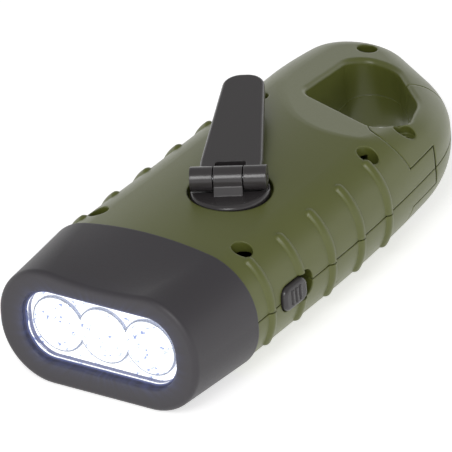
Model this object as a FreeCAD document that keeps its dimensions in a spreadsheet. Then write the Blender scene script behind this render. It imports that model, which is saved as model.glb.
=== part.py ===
import FreeCAD, Part
import math
import os

import Sketcher

os.makedirs("parts", exist_ok=True)
doc = FreeCAD.newDocument("HandCrankFlashlight")
V = FreeCAD.Vector

# Every independent size of the flashlight, in millimetres and degrees.
# x runs across the body, y runs from the cap seam to the ring, z runs up from the resting face.
SIZES = {
    "parting_z": 14.0,
    "crown_z": 29.3,
    "crown_r": 90.0,
    "mid_x": -0.35,
    "front_half": 27.45,
    "side_bend_y": 30.0,
    "side_bend_r": 357.0,
    "gate_corner_r": 38.0,
    "gate_corner_y": 71.3,
    "nose_r": 14.5,
    "nose_x": -12.3,
    "nose_y": 98.1,
    "bow_r": 1500.0,
    "bow_y": 62.0,
    "shoulder_r": 12.5,
    "chine_r": 13.3,
    "ring_fold_y": 60.0,
    "ring_slope": 0.175,
    "ring_lean": 0.09,
    "ring_edge_r": 8.0,
    "ring_under_r": 5.0,
    "opening_lip_r": 1.2,
    "belly_y": 31.0,
    "wall": 2.0,
    "seam_gap": 0.3,
    "seam_band": 0.8,
    "rib_first_y": 6.4,
    "rib_pitch": 12.0,
    "rib_r": 1.5,
    "rib_proud": 0.8,
    "rib_count": 5,
    "rib_reach_deg": 52.0,
    "rib_under_deg": 34.0,
    "cavity_end_y": 61.0,
    "cavity_roof_z": 24.8,
    "cavity_eave_z": 19.0,
    "cavity_floor_z": 2.2,
    "cavity_chine_z": 7.5,
    "cavity_half": 20.0,
    "cavity_step": 3.8,
    "cavity_step_back": 1.5,
    "mouth_half": 17.0,
    "screw_front_x": 19.2,
    "screw_front_y": 8.1,
    "screw_rear_x": 19.9,
    "screw_rear_y": 57.0,
    "screw_ring_x": -12.0,
    "screw_ring_y": 104.6,
    "twin_x": -15.6,
    "twin_y": 66.3,
    "sink_r": 2.4,
    "sink_floor_z": 16.6,
    "boss_r": 3.8,
    "axle_boss_r": 2.4,
    "post_r": 1.5,
    "screw_r": 1.0,
    "screw_head_r": 1.9,
    "screw_head_h": 1.3,
    "screw_length": 8.0,
    "pivot_x": 19.6,
    "pivot_y": 72.2,
    "pivot_r": 1.0,
    "gate_pin_low_z": 4.3,
    "gate_pin_length": 17.6,
    "gate_sink_z": 22.6,
    "ear_r": 7.8,
    "tongue_r": 6.3,
    "gate_reach_r": 25.2,
    "gate_gap": 0.3,
    "tongue_top_z": 18.9,
    "tongue_low_z": 9.6,
    "crank_x": 4.0,
    "crank_y": 26.2,
    "recess_r": 9.65,
    "recess_floor_z": 26.4,
    "disc_r": 8.95,
    "disc_top_z": 29.3,
    "disc_edge_r": 0.9,
    "shaft_r": 3.0,
    "fit_gap": 0.06,
    "axis_z": 31.9,
    "barrel_r": 2.8,
    "barrel_length": 17.1,
    "knuckle_width": 6.4,
    "knuckle_foot_half": 3.6,
    "knuckle_top_half": 2.5,
    "knuckle_foot_drop": 4.0,
    "hinge_pin_r": 0.8,
    "hinge_pin_inset": 0.25,
    "lever_turn_deg": 28.7,
    "lever_rise_deg": 5.0,
    "lever_length": 41.0,
    "lever_base_half": 6.95,
    "lever_tip_half": 4.5,
    "lever_thick": 2.6,
    "lever_under": 1.8,
    "lever_edge_r": 0.8,
    "lever_root": 1.0,
    "lever_waist": 7.0,
    "notch_depth": 5.6,
    "rivet_r": 0.9,
    "rivet_head_r": 1.7,
    "rivet_head_h": 0.5,
    "rivet_bite": 1.5,
    "tip_margin": 4.9,
    "knob_r": 4.0,
    "knob_height": 2.9,
    "knob_edge_r": 0.6,
    "knob_sink_r": 2.0,
    "gear_module": 0.8,
    "gear_play": 0.22,
    "pinion_teeth": 10,
    "crank_teeth": 30,
    "idler_teeth": 25,
    "idler_angle_deg": 115.0,
    "rotor_angle_deg": 25.0,
    "crank_gear_z": 21.0,
    "gear_thick": 2.2,
    "idler_gear_z": 17.4,
    "axle_r": 0.9,
    "hub_r": 2.2,
    "sleeve_r": 1.8,
    "magnet_r": 5.0,
    "magnet_low_z": 4.2,
    "magnet_height": 7.6,
    "stator_r": 9.0,
    "stator_bore_r": 5.5,
    "stator_height": 9.6,
    "stator_neck_r": 7.0,
    "coil_r": 8.7,
    "coil_low_z": 4.6,
    "coil_height": 4.8,
    "plate_rise": 1.0,
    "plate_thick": 1.2,
    "board_thick": 1.6,
    "board_drop": 3.6,
    "cap_length": 21.8,
    "cap_foot_reach": 0.5,
    "cap_tilt_deg": 2.0,
    "cap_lip": 0.7,
    "cap_taper": 1.75,
    "cap_step": 1.1,
    "cap_fall": 2.5,
    "cap_rear_corner": 14.0,
    "cap_front_corner": 13.0,
    "cap_foot_r": 13.4,
    "cap_waist": 1.2,
    "cap_front_wall": 4.0,
    "cap_edge_r": 1.4,
    "lamp_z": 14.4,
    "window_half_x": 20.6,
    "window_half_z": 8.9,
    "window_corner_r": 7.6,
    "window_depth": 1.2,
    "window_ledge": 0.6,
    "window_edge_r": 0.5,
    "pod_side": 2.0,
    "pod_rise": 2.2,
    "pod_corner_r": 8.6,
    "lens_set": 2.4,
    "lens_thick": 0.9,
    "reflector_lip": 1.8,
    "lamp_back_y": 8.5,
    "lamp_pitch": 12.0,
    "cup_r": 7.1,
    "led_r": 2.5,
    "led_dome_y": 13.2,
    "led_fit": 0.3,
    "cup_floor": 0.7,
    "slider_y": 10.2,
    "slider_length": 8.9,
    "slider_low_z": 11.2,
    "slider_high_z": 17.0,
    "slider_face_x": 28.2,
    "slider_corner_r": 2.2,
    "slider_travel": 3.0,
    "flange_reach": 1.2,
    "ridge_pitch": 1.5,
    "ridge_width": 0.6,
    "ridge_proud": 0.25,
    "nib_y": 13.6,
    "nib_z": 12.3,
    "nib_x": 20.0,
    "nib_width": 2.0,
    "nib_height": 2.2,
    "nib_clear": 0.4,
    "switch_x": 15.5,
    "switch_deep": 6.0,
    "switch_wall": 0.8,
    "switch_height": 6.2,
    "battery_r": 5.6,
    "battery_length": 22.0,
    "battery_x": -10.0,
    "battery_y": 35.0,
}

sheet = doc.addObject("Spreadsheet::Sheet", "Sizes")
for row, (alias, number) in enumerate(SIZES.items(), start=1):
    sheet.set("A%d" % row, alias)
    sheet.set("B%d" % row, str(number))
    sheet.setAlias("B%d" % row, alias)
doc.recompute()


def size(name):
    """Return one driving size."""
    return float(SIZES[name])


# Sketch outlines as lists of lines and arcs.

def line(p, q):
    """Return a straight edge from p to q."""
    return Part.LineSegment(V(p[0], p[1], 0), V(q[0], q[1], 0))


def arc(centre, radius, start, end):
    """Return a counter-clockwise arc with angles in radians."""
    circle = Part.Circle(V(centre[0], centre[1], 0), V(0, 0, 1), radius)
    return Part.ArcOfCircle(circle, start, end)


def polygon(points):
    """Return the edges of a closed polygon."""
    return [line(p, q) for p, q in zip(points, points[1:] + points[:1])]


def rounded(points):
    """Return a closed polygon whose corners (x, y, r) are rounded."""
    starts, ends, arcs = [], [], []
    count = len(points)
    for i, (x, y, r) in enumerate(points):
        before = points[i - 1]
        after = points[(i + 1) % count]
        a = V(before[0] - x, before[1] - y, 0).normalize()
        b = V(after[0] - x, after[1] - y, 0).normalize()
        half = a.getAngle(b) / 2.0
        reach = r / math.tan(half)
        corner = V(x, y, 0)
        middle = corner + (a + b).normalize() * (r / math.sin(half))
        first, last = corner + a * reach, corner + b * reach
        knee = middle - (a + b).normalize() * r
        arcs.append(Part.Arc(first, knee, last))
        starts.append(first)
        ends.append(last)
    edges = []
    for i in range(count):
        edges.append(arcs[i])
        edges.append(Part.LineSegment(ends[i], starts[(i + 1) % count]))
    return edges


def box_edges(x0, y0, x1, y1):
    """Return the edges of an upright rectangle."""
    return polygon([(x0, y0), (x1, y0), (x1, y1), (x0, y1)])


# Part design helpers.

def plane_of(body, role):
    """Return an origin plane of the body by its role."""
    for item in body.Origin.OriginFeatures:
        if item.Role == role:
            return item
    raise RuntimeError("no plane " + role)


def new_body(name):
    """Return a new body with its own origin."""
    return doc.addObject("PartDesign::Body", name)


def new_sketch(body, role, edges, offset=None):
    """Return a sketch on an origin plane, moved by an optional placement."""
    sketch = body.newObject("Sketcher::SketchObject", body.Name + "_outline")
    sketch.AttachmentSupport = [(plane_of(body, role), "")]
    sketch.MapMode = "FlatFace"
    if offset is not None:
        sketch.AttachmentOffset = offset
    for edge in edges:
        sketch.addGeometry(edge, False)
    return sketch


def at_height(value):
    """Return the sketch offset along its plane's normal."""
    return FreeCAD.Placement(V(0, 0, value), FreeCAD.Rotation())


def tip_volume(body):
    """Return the present volume of the body."""
    return body.Shape.Volume


def pad(body, sketch, length, flip=False):
    """Pad a sketch by a length given as an expression."""
    feature = body.newObject("PartDesign::Pad", body.Name + "_pad")
    feature.Profile = sketch
    feature.setExpression("Length", length)
    feature.Reversed = flip
    sketch.Visibility = False
    doc.recompute()
    return feature


def pocket(body, sketch, length=None, flip=False, through=False):
    """Pocket a sketch by a length expression or through everything both ways."""
    before = tip_volume(body)
    feature = body.newObject("PartDesign::Pocket", body.Name + "_pocket")
    feature.Profile = sketch
    if through:
        feature.Type = 1
        feature.Midplane = True
    else:
        feature.setExpression("Length", length)
        feature.Reversed = flip
    doc.recompute()
    if not tip_volume(body) < before - 1e-6:
        raise RuntimeError("pocket removed nothing in " + body.Name)
    return feature


def round_edges(body, chosen, radius):
    """Fillet the edges the test picks, with a radius expression."""
    base = body.Tip
    names = ["Edge%d" % (i + 1) for i, e in enumerate(base.Shape.Edges) if chosen(e)]
    if not names:
        raise RuntimeError("no edges to round in " + body.Name)
    feature = body.newObject("PartDesign::Fillet", body.Name + "_fillet")
    feature.Base = (base, names)
    feature.setExpression("Radius", radius)
    doc.recompute()
    return feature


def cylinder(name, radius, height, x, y, z, direction=V(0, 0, 1)):
    """Return a cylinder whose sizes and place are expressions."""
    item = doc.addObject("Part::Cylinder", name)
    item.Placement = FreeCAD.Placement(V(), FreeCAD.Rotation(V(0, 0, 1), direction))
    item.setExpression("Radius", radius)
    item.setExpression("Height", height)
    for axis, value in zip("xyz", (x, y, z)):
        item.setExpression("Placement.Base." + axis, value)
    return item


def block(name, x0, y0, z0, dx, dy, dz):
    """Return a box whose corner and sides are expressions."""
    item = doc.addObject("Part::Box", name)
    for prop, value in zip(("Length", "Width", "Height"), (dx, dy, dz)):
        item.setExpression(prop, value)
    for axis, value in zip("xyz", (x0, y0, z0)):
        item.setExpression("Placement.Base." + axis, value)
    return item


def fuse(name, shapes):
    """Return the union of several objects."""
    item = doc.addObject("Part::MultiFuse", name)
    item.Shapes = shapes
    return item


def common(name, shapes):
    """Return the intersection of several objects."""
    item = doc.addObject("Part::MultiCommon", name)
    item.Shapes = shapes
    return item


def cut(name, base, tool):
    """Return base minus tool."""
    item = doc.addObject("Part::Cut", name)
    item.Base = base
    item.Tool = tool
    return item


def rounded_rims(name, item, radius, chosen):
    """Return a turned piece with the round rims that the test picks filleted."""
    rims = doc.addObject("Part::Fillet", name)
    rims.Base = item
    rims.Edges = [(i + 1, radius, radius) for i, e in enumerate(item.Shape.Edges)
                  if len(e.Vertexes) == 1 and chosen(e)]
    return rims


def group(name, shapes):
    """Return several solids as one compound."""
    item = doc.addObject("Part::Compound", name)
    item.Links = shapes
    return item


NODES = []


def finish(item, label, base_y="0 mm"):
    """Give a finished piece its label and shift it onto the belly's origin."""
    item.Label = label
    item.setExpression("Placement.Base.y", base_y + " - Sizes.belly_y * 1 mm")
    NODES.append(item)
    return item


# Plan outline of the body and ring, seen from above.

def plan_outline(inset):
    """Return the outer plan outline moved inwards by the inset."""
    side_x = size("mid_x") + size("front_half") - inset
    side_c = (size("mid_x") + size("front_half") - size("side_bend_r"), size("side_bend_y"))
    side_r = size("side_bend_r") - inset
    corner_r = size("gate_corner_r") - inset
    rise = size("gate_corner_y") - side_c[1]
    reach = size("side_bend_r") - size("gate_corner_r")
    corner_c = (side_c[0] + math.sqrt(reach ** 2 - rise ** 2), size("gate_corner_y"))
    nose_c = (size("nose_x"), size("nose_y"))
    nose_r = size("nose_r") - inset
    apart = size("bow_r") + size("nose_r")
    bow_c = (nose_c[0] - math.sqrt(apart ** 2 - (nose_c[1] - size("bow_y")) ** 2), size("bow_y"))
    bow_r = size("bow_r") + inset
    run = math.atan2(nose_c[1] - corner_c[1], nose_c[0] - corner_c[0])
    span = math.hypot(nose_c[1] - corner_c[1], nose_c[0] - corner_c[0])
    normal = run - math.acos((nose_r - corner_r) * -1.0 / span)
    side_end = math.atan2(corner_c[1] - side_c[1], corner_c[0] - side_c[0])
    bow_end = math.atan2(nose_c[1] - bow_c[1], nose_c[0] - bow_c[0])
    left_x = bow_c[0] + math.sqrt(bow_r ** 2 - (inset - bow_c[1]) ** 2)
    bow_start = math.atan2(inset - bow_c[1], left_x - bow_c[0])

    def on(centre, radius, angle):
        return (centre[0] + radius * math.cos(angle), centre[1] + radius * math.sin(angle))

    return [
        line((left_x, inset), (side_x, inset)),
        line((side_x, inset), (side_x, side_c[1])),
        arc(side_c, side_r, 0.0, side_end),
        arc(corner_c, corner_r, side_end, normal),
        line(on(corner_c, corner_r, normal), on(nose_c, nose_r, normal)),
        arc(nose_c, nose_r, normal, math.pi + bow_end),
        arc(bow_c, bow_r, bow_start, bow_end),
    ]


def opening_outline():
    """Return the carabiner opening's outline."""
    return rounded([
        (14.6, 67.4, 3.5),
        (18.2, 75.6, 6.0),
        (13.4, 86.8, 14.0),
        (-1.4, 99.9, 10.0),
        (-11.9, 99.6, 5.4),
        (-8.6, 73.2, 5.0),
    ])


def tilted(sign):
    """Return the sketch offset of the ring's top (sign 1) or under (sign -1) plane."""
    slope, lean = size("ring_slope"), size("ring_lean")
    top = V(0, size("ring_fold_y"), size("crown_z"))
    low = V(0, size("ring_fold_y"), 2.0 * size("parting_z") - size("crown_z"))
    if sign > 0:
        return FreeCAD.Placement(top, FreeCAD.Rotation(V(0, 0, 1), V(lean, slope, 1)))
    return FreeCAD.Placement(low, FreeCAD.Rotation(V(0, 0, 1), V(-lean, -slope, 1)))


def shell_form(name, sign):
    """Build the outer form of the upper (sign 1) or lower (sign -1) half, opening included."""
    body = new_body(name)
    outline = new_sketch(body, "XY_Plane", plan_outline(0.0), at_height(size("parting_z")))
    if sign > 0:
        pad(body, outline, "(Sizes.crown_z - Sizes.parting_z) * 1 mm")
        centre_z = size("crown_z") - size("crown_r")
        mid, half = size("mid_x"), 2.0 * size("front_half")
        angle = math.asin(half / size("crown_r"))
        edge_z = centre_z + size("crown_r") * math.cos(angle)
        top_z = size("crown_z") + size("wall")
        crown = new_sketch(body, "XZ_Plane", [
            arc((mid, centre_z), size("crown_r"), math.pi / 2 - angle, math.pi / 2 + angle),
            line((mid - half, edge_z), (mid - half, top_z)),
            line((mid - half, top_z), (mid + half, top_z)),
            line((mid + half, top_z), (mid + half, edge_z)),
        ])
        pocket(body, crown, through=True)
        level = size("parting_z") + size("wall")
        round_edges(body, lambda e: min(v.Z for v in e.Vertexes) > level
                    and max(v.Y for v in e.Vertexes) > 1.0, "Sizes.shoulder_r * 1 mm")
    else:
        pad(body, outline, "Sizes.parting_z * 1 mm", flip=True)
        round_edges(body, lambda e: max(v.Z for v in e.Vertexes) < 0.01
                    and max(v.Y for v in e.Vertexes) > 1.0, "Sizes.chine_r * 1 mm")
    far = 200.0
    slope = tilted(sign)
    slab = new_sketch(body, "XY_Plane", box_edges(-far, -far, far, far), slope)
    pocket(body, slab, "100 mm", flip=(sign > 0))
    normal = slope.Rotation.multVec(V(0, 0, 1))

    def height_over_plane(edge):
        first, last = edge.FirstParameter, edge.LastParameter
        spots = [edge.valueAt(first + k * (last - first) / 4.0) for k in range(5)]
        return spots, max(abs((p - slope.Base).dot(normal)) for p in spots)

    def on_rim(edge):
        spots, height = height_over_plane(edge)
        across = abs(spots[0].x + spots[-1].x) < 6.0 and abs(spots[2].x) < 5.0
        return height < 0.01 and not across

    lip = Part.Compound([edge.toShape() for edge in opening_outline()])

    def on_lip(edge):
        spots, height = height_over_plane(edge)
        return height < size("ring_edge_r") and all(
            lip.distToShape(Part.Vertex(p.x, p.y, 0))[0] < 0.01 for p in spots)

    round_edges(body, on_rim, "Sizes.%s * 1 mm" % ("ring_edge_r" if sign > 0 else "ring_under_r"))
    window = new_sketch(body, "XY_Plane", opening_outline())
    pocket(body, window, through=True)

    round_edges(body, on_lip, "Sizes.opening_lip_r * 1 mm")
    if sign < 0:
        rim = plan_outline(-size("wall")) + plan_outline(size("seam_band"))
        groove = new_sketch(body, "XY_Plane", rim, at_height(size("parting_z")))
        pocket(body, groove, "Sizes.seam_gap * 1 mm")
    return body


upper_form = shell_form("UpperForm", 1)
lower_form = shell_form("LowerForm", -1)


# Ribs wrapped round both sides, five a side.

def side_x(y, side):
    """Return the outline's half-width at y on the right (side 1) or left (side -1)."""
    if side > 0:
        centre = size("mid_x") + size("front_half") - size("side_bend_r")
        return centre + math.sqrt(size("side_bend_r") ** 2 - max(y - size("side_bend_y"), 0.0) ** 2)
    reach = size("bow_r") + size("nose_r")
    centre = size("nose_x") - math.sqrt(reach ** 2 - (size("nose_y") - size("bow_y")) ** 2)
    return -(centre + math.sqrt(size("bow_r") ** 2 - (y - size("bow_y")) ** 2))


def rib(name, y, side, up):
    """Return one rib: a bent bar with a ball end, going up or down from the parting plane."""
    corner = size("shoulder_r") if up > 0 else size("chine_r")
    turn_size = "rib_reach_deg" if up > 0 else "rib_under_deg"
    swing = corner - size("rib_r") + size("rib_proud")
    x = side_x(y, side) - corner
    if up > 0:
        inner = size("crown_r") - corner
        z = size("crown_z") - size("crown_r") + math.sqrt(inner ** 2 - (x - side * size("mid_x")) ** 2)
    else:
        z = corner
    bend = doc.addObject("Part::Torus", name + "_bend")
    bend.Radius1 = swing
    bend.setExpression("Radius2", "Sizes.rib_r * 1 mm")
    bend.setExpression("Angle3", "Sizes.%s * 1 deg" % turn_size)
    turn = FreeCAD.Rotation(V(0, 0, 1), 0.0 if side > 0 else 180.0)
    bend.Placement = FreeCAD.Placement(V(side * x, y, z), turn * FreeCAD.Rotation(V(1, 0, 0), 90.0 * up))
    reach = math.radians(size(turn_size))
    ball = doc.addObject("Part::Sphere", name + "_end")
    ball.setExpression("Radius", "Sizes.rib_r * 1 mm")
    ball.Placement.Base = V(side * (x + swing * math.cos(reach)), y, z + up * swing * math.sin(reach))
    stem = doc.addObject("Part::Cylinder", name + "_stem")
    stem.setExpression("Radius", "Sizes.rib_r * 1 mm")
    foot = size("parting_z") if up > 0 else z
    stem.Height = abs(z - size("parting_z")) if up > 0 else size("parting_z") - size("seam_gap") - z
    stem.Placement.Base = V(side * (x + swing), y, foot)
    return [bend, ball, stem]


def ribs(name, up):
    """Return every rib of one half."""
    pieces = []
    for k in range(int(size("rib_count"))):
        y = size("rib_first_y") + k * size("rib_pitch")
        for side in (1, -1):
            tag = "%s_%d_%s" % (name, k, "r" if side > 0 else "l")
            pieces += rib(tag, y, side, up)
    return pieces


# Zones that part the gate from the ring.

def prism(name, edges, low, high):
    """Return a plan prism between two heights given as expressions."""
    body = new_body(name)
    sketch = new_sketch(body, "XY_Plane", edges)
    sketch.setExpression("AttachmentOffset.Base.z", low)
    pad(body, sketch, "%s - (%s)" % (high, low))
    return body


# Corners of the gate's inner parting line, from its pivot.
GATE_LINE = [(-6.0, 0.0), (-12.0, 10.0), (-21.5, 18.0)]


def gate_zone(name, up, grow):
    """Return the plan zone of the gate in one half, grown by a gap."""
    px, py = size("pivot_x"), size("pivot_y")
    far = 40.0
    if up > 0:
        low, high = "Sizes.parting_z * 1 mm", "(Sizes.crown_z + Sizes.wall) * 1 mm"
        ear_low = "Sizes.tongue_top_z * 1 mm + (%s)" % ("0 mm" if grow else "Sizes.gate_gap * 1 mm")
        ear_high = high
    else:
        low, high = "-Sizes.wall * 1 mm", "Sizes.parting_z * 1 mm"
        ear_low = low
        ear_high = "Sizes.tongue_low_z * 1 mm - (%s)" % ("0 mm" if grow else "Sizes.gate_gap * 1 mm")
    inner = [(px + x, py + y) for x, y in GATE_LINE]
    wedge = prism(name + "_wedge", polygon(inner + [
        (inner[-1][0], py + far), (px + far, py + far), (px + far, py),
    ]), low, high)
    gap = "Sizes.gate_gap * 1 mm" if grow else "0 mm"
    reach = cylinder(name + "_reach", "Sizes.gate_reach_r * 1 mm + " + gap,
                     "%s - (%s)" % (high, low), PX, PY, low)
    arm = common(name + "_arm", [wedge, reach])
    tongue = cylinder(name + "_tongue",
                      "Sizes.tongue_r * 1 mm + " + ("0 mm" if grow else "Sizes.gate_gap * 1 mm"),
                      "%s - (%s)" % (high, low), PX, PY, low)
    middle = cut(name + "_middle", arm, tongue)
    ear = cylinder(name + "_ear", "Sizes.ear_r * 1 mm + " + gap,
                   "%s - (%s)" % (ear_high, ear_low), PX, PY, ear_low)
    return fuse(name, [middle, ear])


# Cavities, bosses and bores shared by the two halves.

SCREWS = [
    ("front_right", "Sizes.screw_front_x * 1 mm", "Sizes.screw_front_y * 1 mm"),
    ("front_left", "-Sizes.screw_front_x * 1 mm", "Sizes.screw_front_y * 1 mm"),
    ("rear_right", "Sizes.screw_rear_x * 1 mm", "Sizes.screw_rear_y * 1 mm"),
    ("rear_left", "-Sizes.screw_rear_x * 1 mm", "Sizes.screw_rear_y * 1 mm"),
    ("ring", "Sizes.screw_ring_x * 1 mm", "Sizes.screw_ring_y * 1 mm"),
]
CX, CY = "Sizes.crank_x * 1 mm", "Sizes.crank_y * 1 mm"
PX, PY = "Sizes.pivot_x * 1 mm", "Sizes.pivot_y * 1 mm"

# Gear centres: the crank gear drives the idler, the idler drives the rotor.
IDLER_REACH = "Sizes.gear_module * (Sizes.crank_teeth + Sizes.pinion_teeth) / 2"
ROTOR_REACH = "Sizes.gear_module * (Sizes.idler_teeth + Sizes.pinion_teeth) / 2"
IX = "(Sizes.crank_x + %s * cos(Sizes.idler_angle_deg * 1 deg)) * 1 mm" % IDLER_REACH
IY = "(Sizes.crank_y + %s * sin(Sizes.idler_angle_deg * 1 deg)) * 1 mm" % IDLER_REACH
RX = "%s + %s * cos(Sizes.rotor_angle_deg * 1 deg) * 1 mm" % (IX, ROTOR_REACH)
RY = "%s + %s * sin(Sizes.rotor_angle_deg * 1 deg) * 1 mm" % (IY, ROTOR_REACH)
PLATE_LOW = "(Sizes.parting_z + Sizes.plate_rise) * 1 mm"
PLATE_THICK = "Sizes.plate_thick * 1 mm"
BOARD_LOW = "(Sizes.nib_z - Sizes.board_drop) * 1 mm"
BOARD_THICK = "Sizes.board_thick * 1 mm"

# Posts on the floor of the lower shell: three for the gear plate, four for the main board.
PLATE_POSTS = [(16.5, 34.0), (-1.8, 57.0), (-2.4, 33.6)]
BOARD_POSTS = [(-12.0, 8.0), (10.0, 8.0), (12.0, 25.0), (-12.0, 25.0)]
POSTS = [(x, y, PLATE_LOW) for x, y in PLATE_POSTS] + [(x, y, BOARD_LOW) for x, y in BOARD_POSTS]


def pocket_plan(half, margin):
    """Return a rounded plan outline for a cavity."""
    start = size("wall") + 0.5
    end = size("cavity_end_y") - margin
    return rounded([(-half, start, 2.0), (half, start, 2.0), (half, end, 6.0), (-half, end, 6.0)])


def wide_plan():
    """Return the wider outline that a cavity has next to the parting plane."""
    return pocket_plan(size("cavity_half") + size("cavity_step"), size("cavity_step_back"))


def mouth():
    """Return the opening in the front wall behind the head cap."""
    return block("Mouth_%d" % len(doc.Objects), "-Sizes.mouth_half * 1 mm", "-Sizes.wall * 1 mm",
                 "(Sizes.lamp_z - 6) * 1 mm", "2 * Sizes.mouth_half * 1 mm", "3 * Sizes.wall * 1 mm", "12 mm")


SLOT_X = size("mid_x") + size("front_half") - 2.5 * size("wall")
FLANGE_X = "(Sizes.mid_x + Sizes.front_half - 2.5 * Sizes.wall + Sizes.gate_gap) * 1 mm"


def slider_plan(gap, travel):
    """Return the button's rounded side outline, grown by a gap and stretched by a travel."""
    low_y, high_y = size("slider_y") - gap, size("slider_y") + size("slider_length") + travel + gap
    low_z, high_z = size("slider_low_z") - gap, size("slider_high_z") + gap
    corner = size("slider_corner_r") + gap
    return rounded([(low_y, low_z, corner), (high_y, low_z, corner), (high_y, high_z, corner),
                    (low_y, high_z, corner)])


def slot(name, gap):
    """Return the switch slot's rounded block, spanning both halves."""
    body = new_body(name)
    sketch = new_sketch(body, "YZ_Plane", slider_plan(gap, size("slider_travel")), at_height(SLOT_X))
    pad(body, sketch, "4 * Sizes.wall * 1 mm")
    return body


# Upper shell: recess for the crank disc, screw sinks, gate seam and gear room.

room_tall = prism("RoomTall", pocket_plan(size("cavity_half"), 0.0),
                  "(Sizes.parting_z - 1) * 1 mm", "Sizes.cavity_roof_z * 1 mm")
room_eave = prism("RoomEave", wide_plan(),
                  "(Sizes.parting_z - 1) * 1 mm", "Sizes.cavity_eave_z * 1 mm")
upper_room = fuse("UpperRoom", [room_tall, room_eave, mouth()])
upper_ribbed = fuse("UpperRibbed", [upper_form] + ribs("UpperRib", 1))
upper_hollow = cut("UpperHollow", upper_ribbed, upper_room)
upper_bosses = [
    cylinder("UpperBoss_" + tag, "Sizes.boss_r * 1 mm",
             "(Sizes.cavity_eave_z - Sizes.parting_z + 2) * 1 mm", x, y, "Sizes.parting_z * 1 mm")
    for tag, x, y in SCREWS[:4]
]
idler_boss = cylinder("IdlerAxleBoss", "Sizes.axle_boss_r * 1 mm", "3 mm", IX, IY,
                      "Sizes.cavity_roof_z * 1 mm - 1 mm")
upper_bossed = fuse("UpperBossed", [upper_hollow, idler_boss] + upper_bosses)
upper_tools = [
    cylinder("DiscRecess", "Sizes.recess_r * 1 mm", "10 mm", CX, CY, "Sizes.recess_floor_z * 1 mm"),
    cylinder("ShaftBore", "(Sizes.shaft_r + Sizes.fit_gap) * 1 mm", "10 mm", CX, CY, "20 mm"),
    cylinder("IdlerAxleBoreUpper", "(Sizes.axle_r + Sizes.fit_gap) * 1 mm", "3 mm", IX, IY, "23 mm"),
    cylinder("TwinSink", "Sizes.sink_r * 1 mm", "20 mm", "Sizes.twin_x * 1 mm", "Sizes.twin_y * 1 mm",
             "(Sizes.sink_floor_z + 4) * 1 mm"),
    cylinder("PivotBoreUpper", "(Sizes.pivot_r + Sizes.fit_gap) * 1 mm", "20 mm", PX, PY,
             "(Sizes.parting_z - 1) * 1 mm"),
    gate_zone("UpperGateRoom", 1, True),
    slot("UpperSlot", size("gate_gap")),
]
for tag, x, y in SCREWS:
    upper_tools.append(cylinder("Sink_" + tag, "Sizes.sink_r * 1 mm", "20 mm", x, y,
                                "Sizes.sink_floor_z * 1 mm"))
    upper_tools.append(cylinder("ShankBore_" + tag, "(Sizes.screw_r + Sizes.fit_gap) * 1 mm", "10 mm",
                                x, y, "(Sizes.parting_z - 1) * 1 mm"))
upper_shell = cut("UpperShell", upper_bossed, fuse("UpperTools", upper_tools))
finish(upper_shell, "upper_shell")

# Lower shell: tray with bosses, posts and the seam groove round its rim.

floor_room = prism("FloorRoom", pocket_plan(size("cavity_half"), 0.0),
                   "Sizes.cavity_floor_z * 1 mm", "(Sizes.parting_z + 1) * 1 mm")
chine_room = prism("ChineRoom", wide_plan(),
                   "Sizes.cavity_chine_z * 1 mm", "(Sizes.parting_z + 1) * 1 mm")
lower_room = fuse("LowerRoom", [floor_room, chine_room, mouth()])
lower_ribbed = fuse("LowerRibbed", [lower_form] + ribs("LowerRib", -1))
lower_hollow = cut("LowerHollow", lower_ribbed, lower_room)
lower_bosses = [
    cylinder("LowerBoss_" + tag, "Sizes.boss_r * 1 mm", "(Sizes.parting_z - Sizes.wall) * 1 mm",
             x, y, "Sizes.wall * 1 mm")
    for tag, x, y in SCREWS[:4]
]
posts = [
    cylinder("Post_%d" % k, "Sizes.post_r * 1 mm", "(%s) - Sizes.wall * 1 mm" % top,
             "%.1f mm" % x, "%.1f mm" % y, "Sizes.wall * 1 mm")
    for k, (x, y, top) in enumerate(POSTS)
]
axle_boss = cylinder("RotorAxleBoss", "Sizes.axle_boss_r * 1 mm", "1.4 mm", RX, RY, "Sizes.wall * 1 mm")
boss_trim = common("LowerBossTrim", [fuse("LowerBossSet", lower_bosses), lower_form])
lower_bossed = fuse("LowerBossed", [lower_hollow, boss_trim, axle_boss] + posts)
lower_tools = [
    cylinder("RotorAxleBoreLower", "(Sizes.axle_r + Sizes.fit_gap) * 1 mm", "4 mm", RX, RY, "1.2 mm"),
    cylinder("PivotBoreLower", "(Sizes.pivot_r + Sizes.fit_gap) * 1 mm", "12 mm", PX, PY, "3 mm"),
    gate_zone("LowerGateRoom", -1, True),
    slot("LowerSlot", size("gate_gap")),
]
for tag, x, y in SCREWS:
    lower_tools.append(cylinder("Pilot_" + tag, "(Sizes.screw_r + Sizes.fit_gap) * 1 mm", "8 mm", x, y,
                                "(Sizes.parting_z - 7) * 1 mm"))
lower_shell = cut("LowerShell", lower_bossed, fuse("LowerTools", lower_tools))
finish(lower_shell, "lower_shell")

# Gate halves, cut from the same outer form as the ring.

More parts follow.
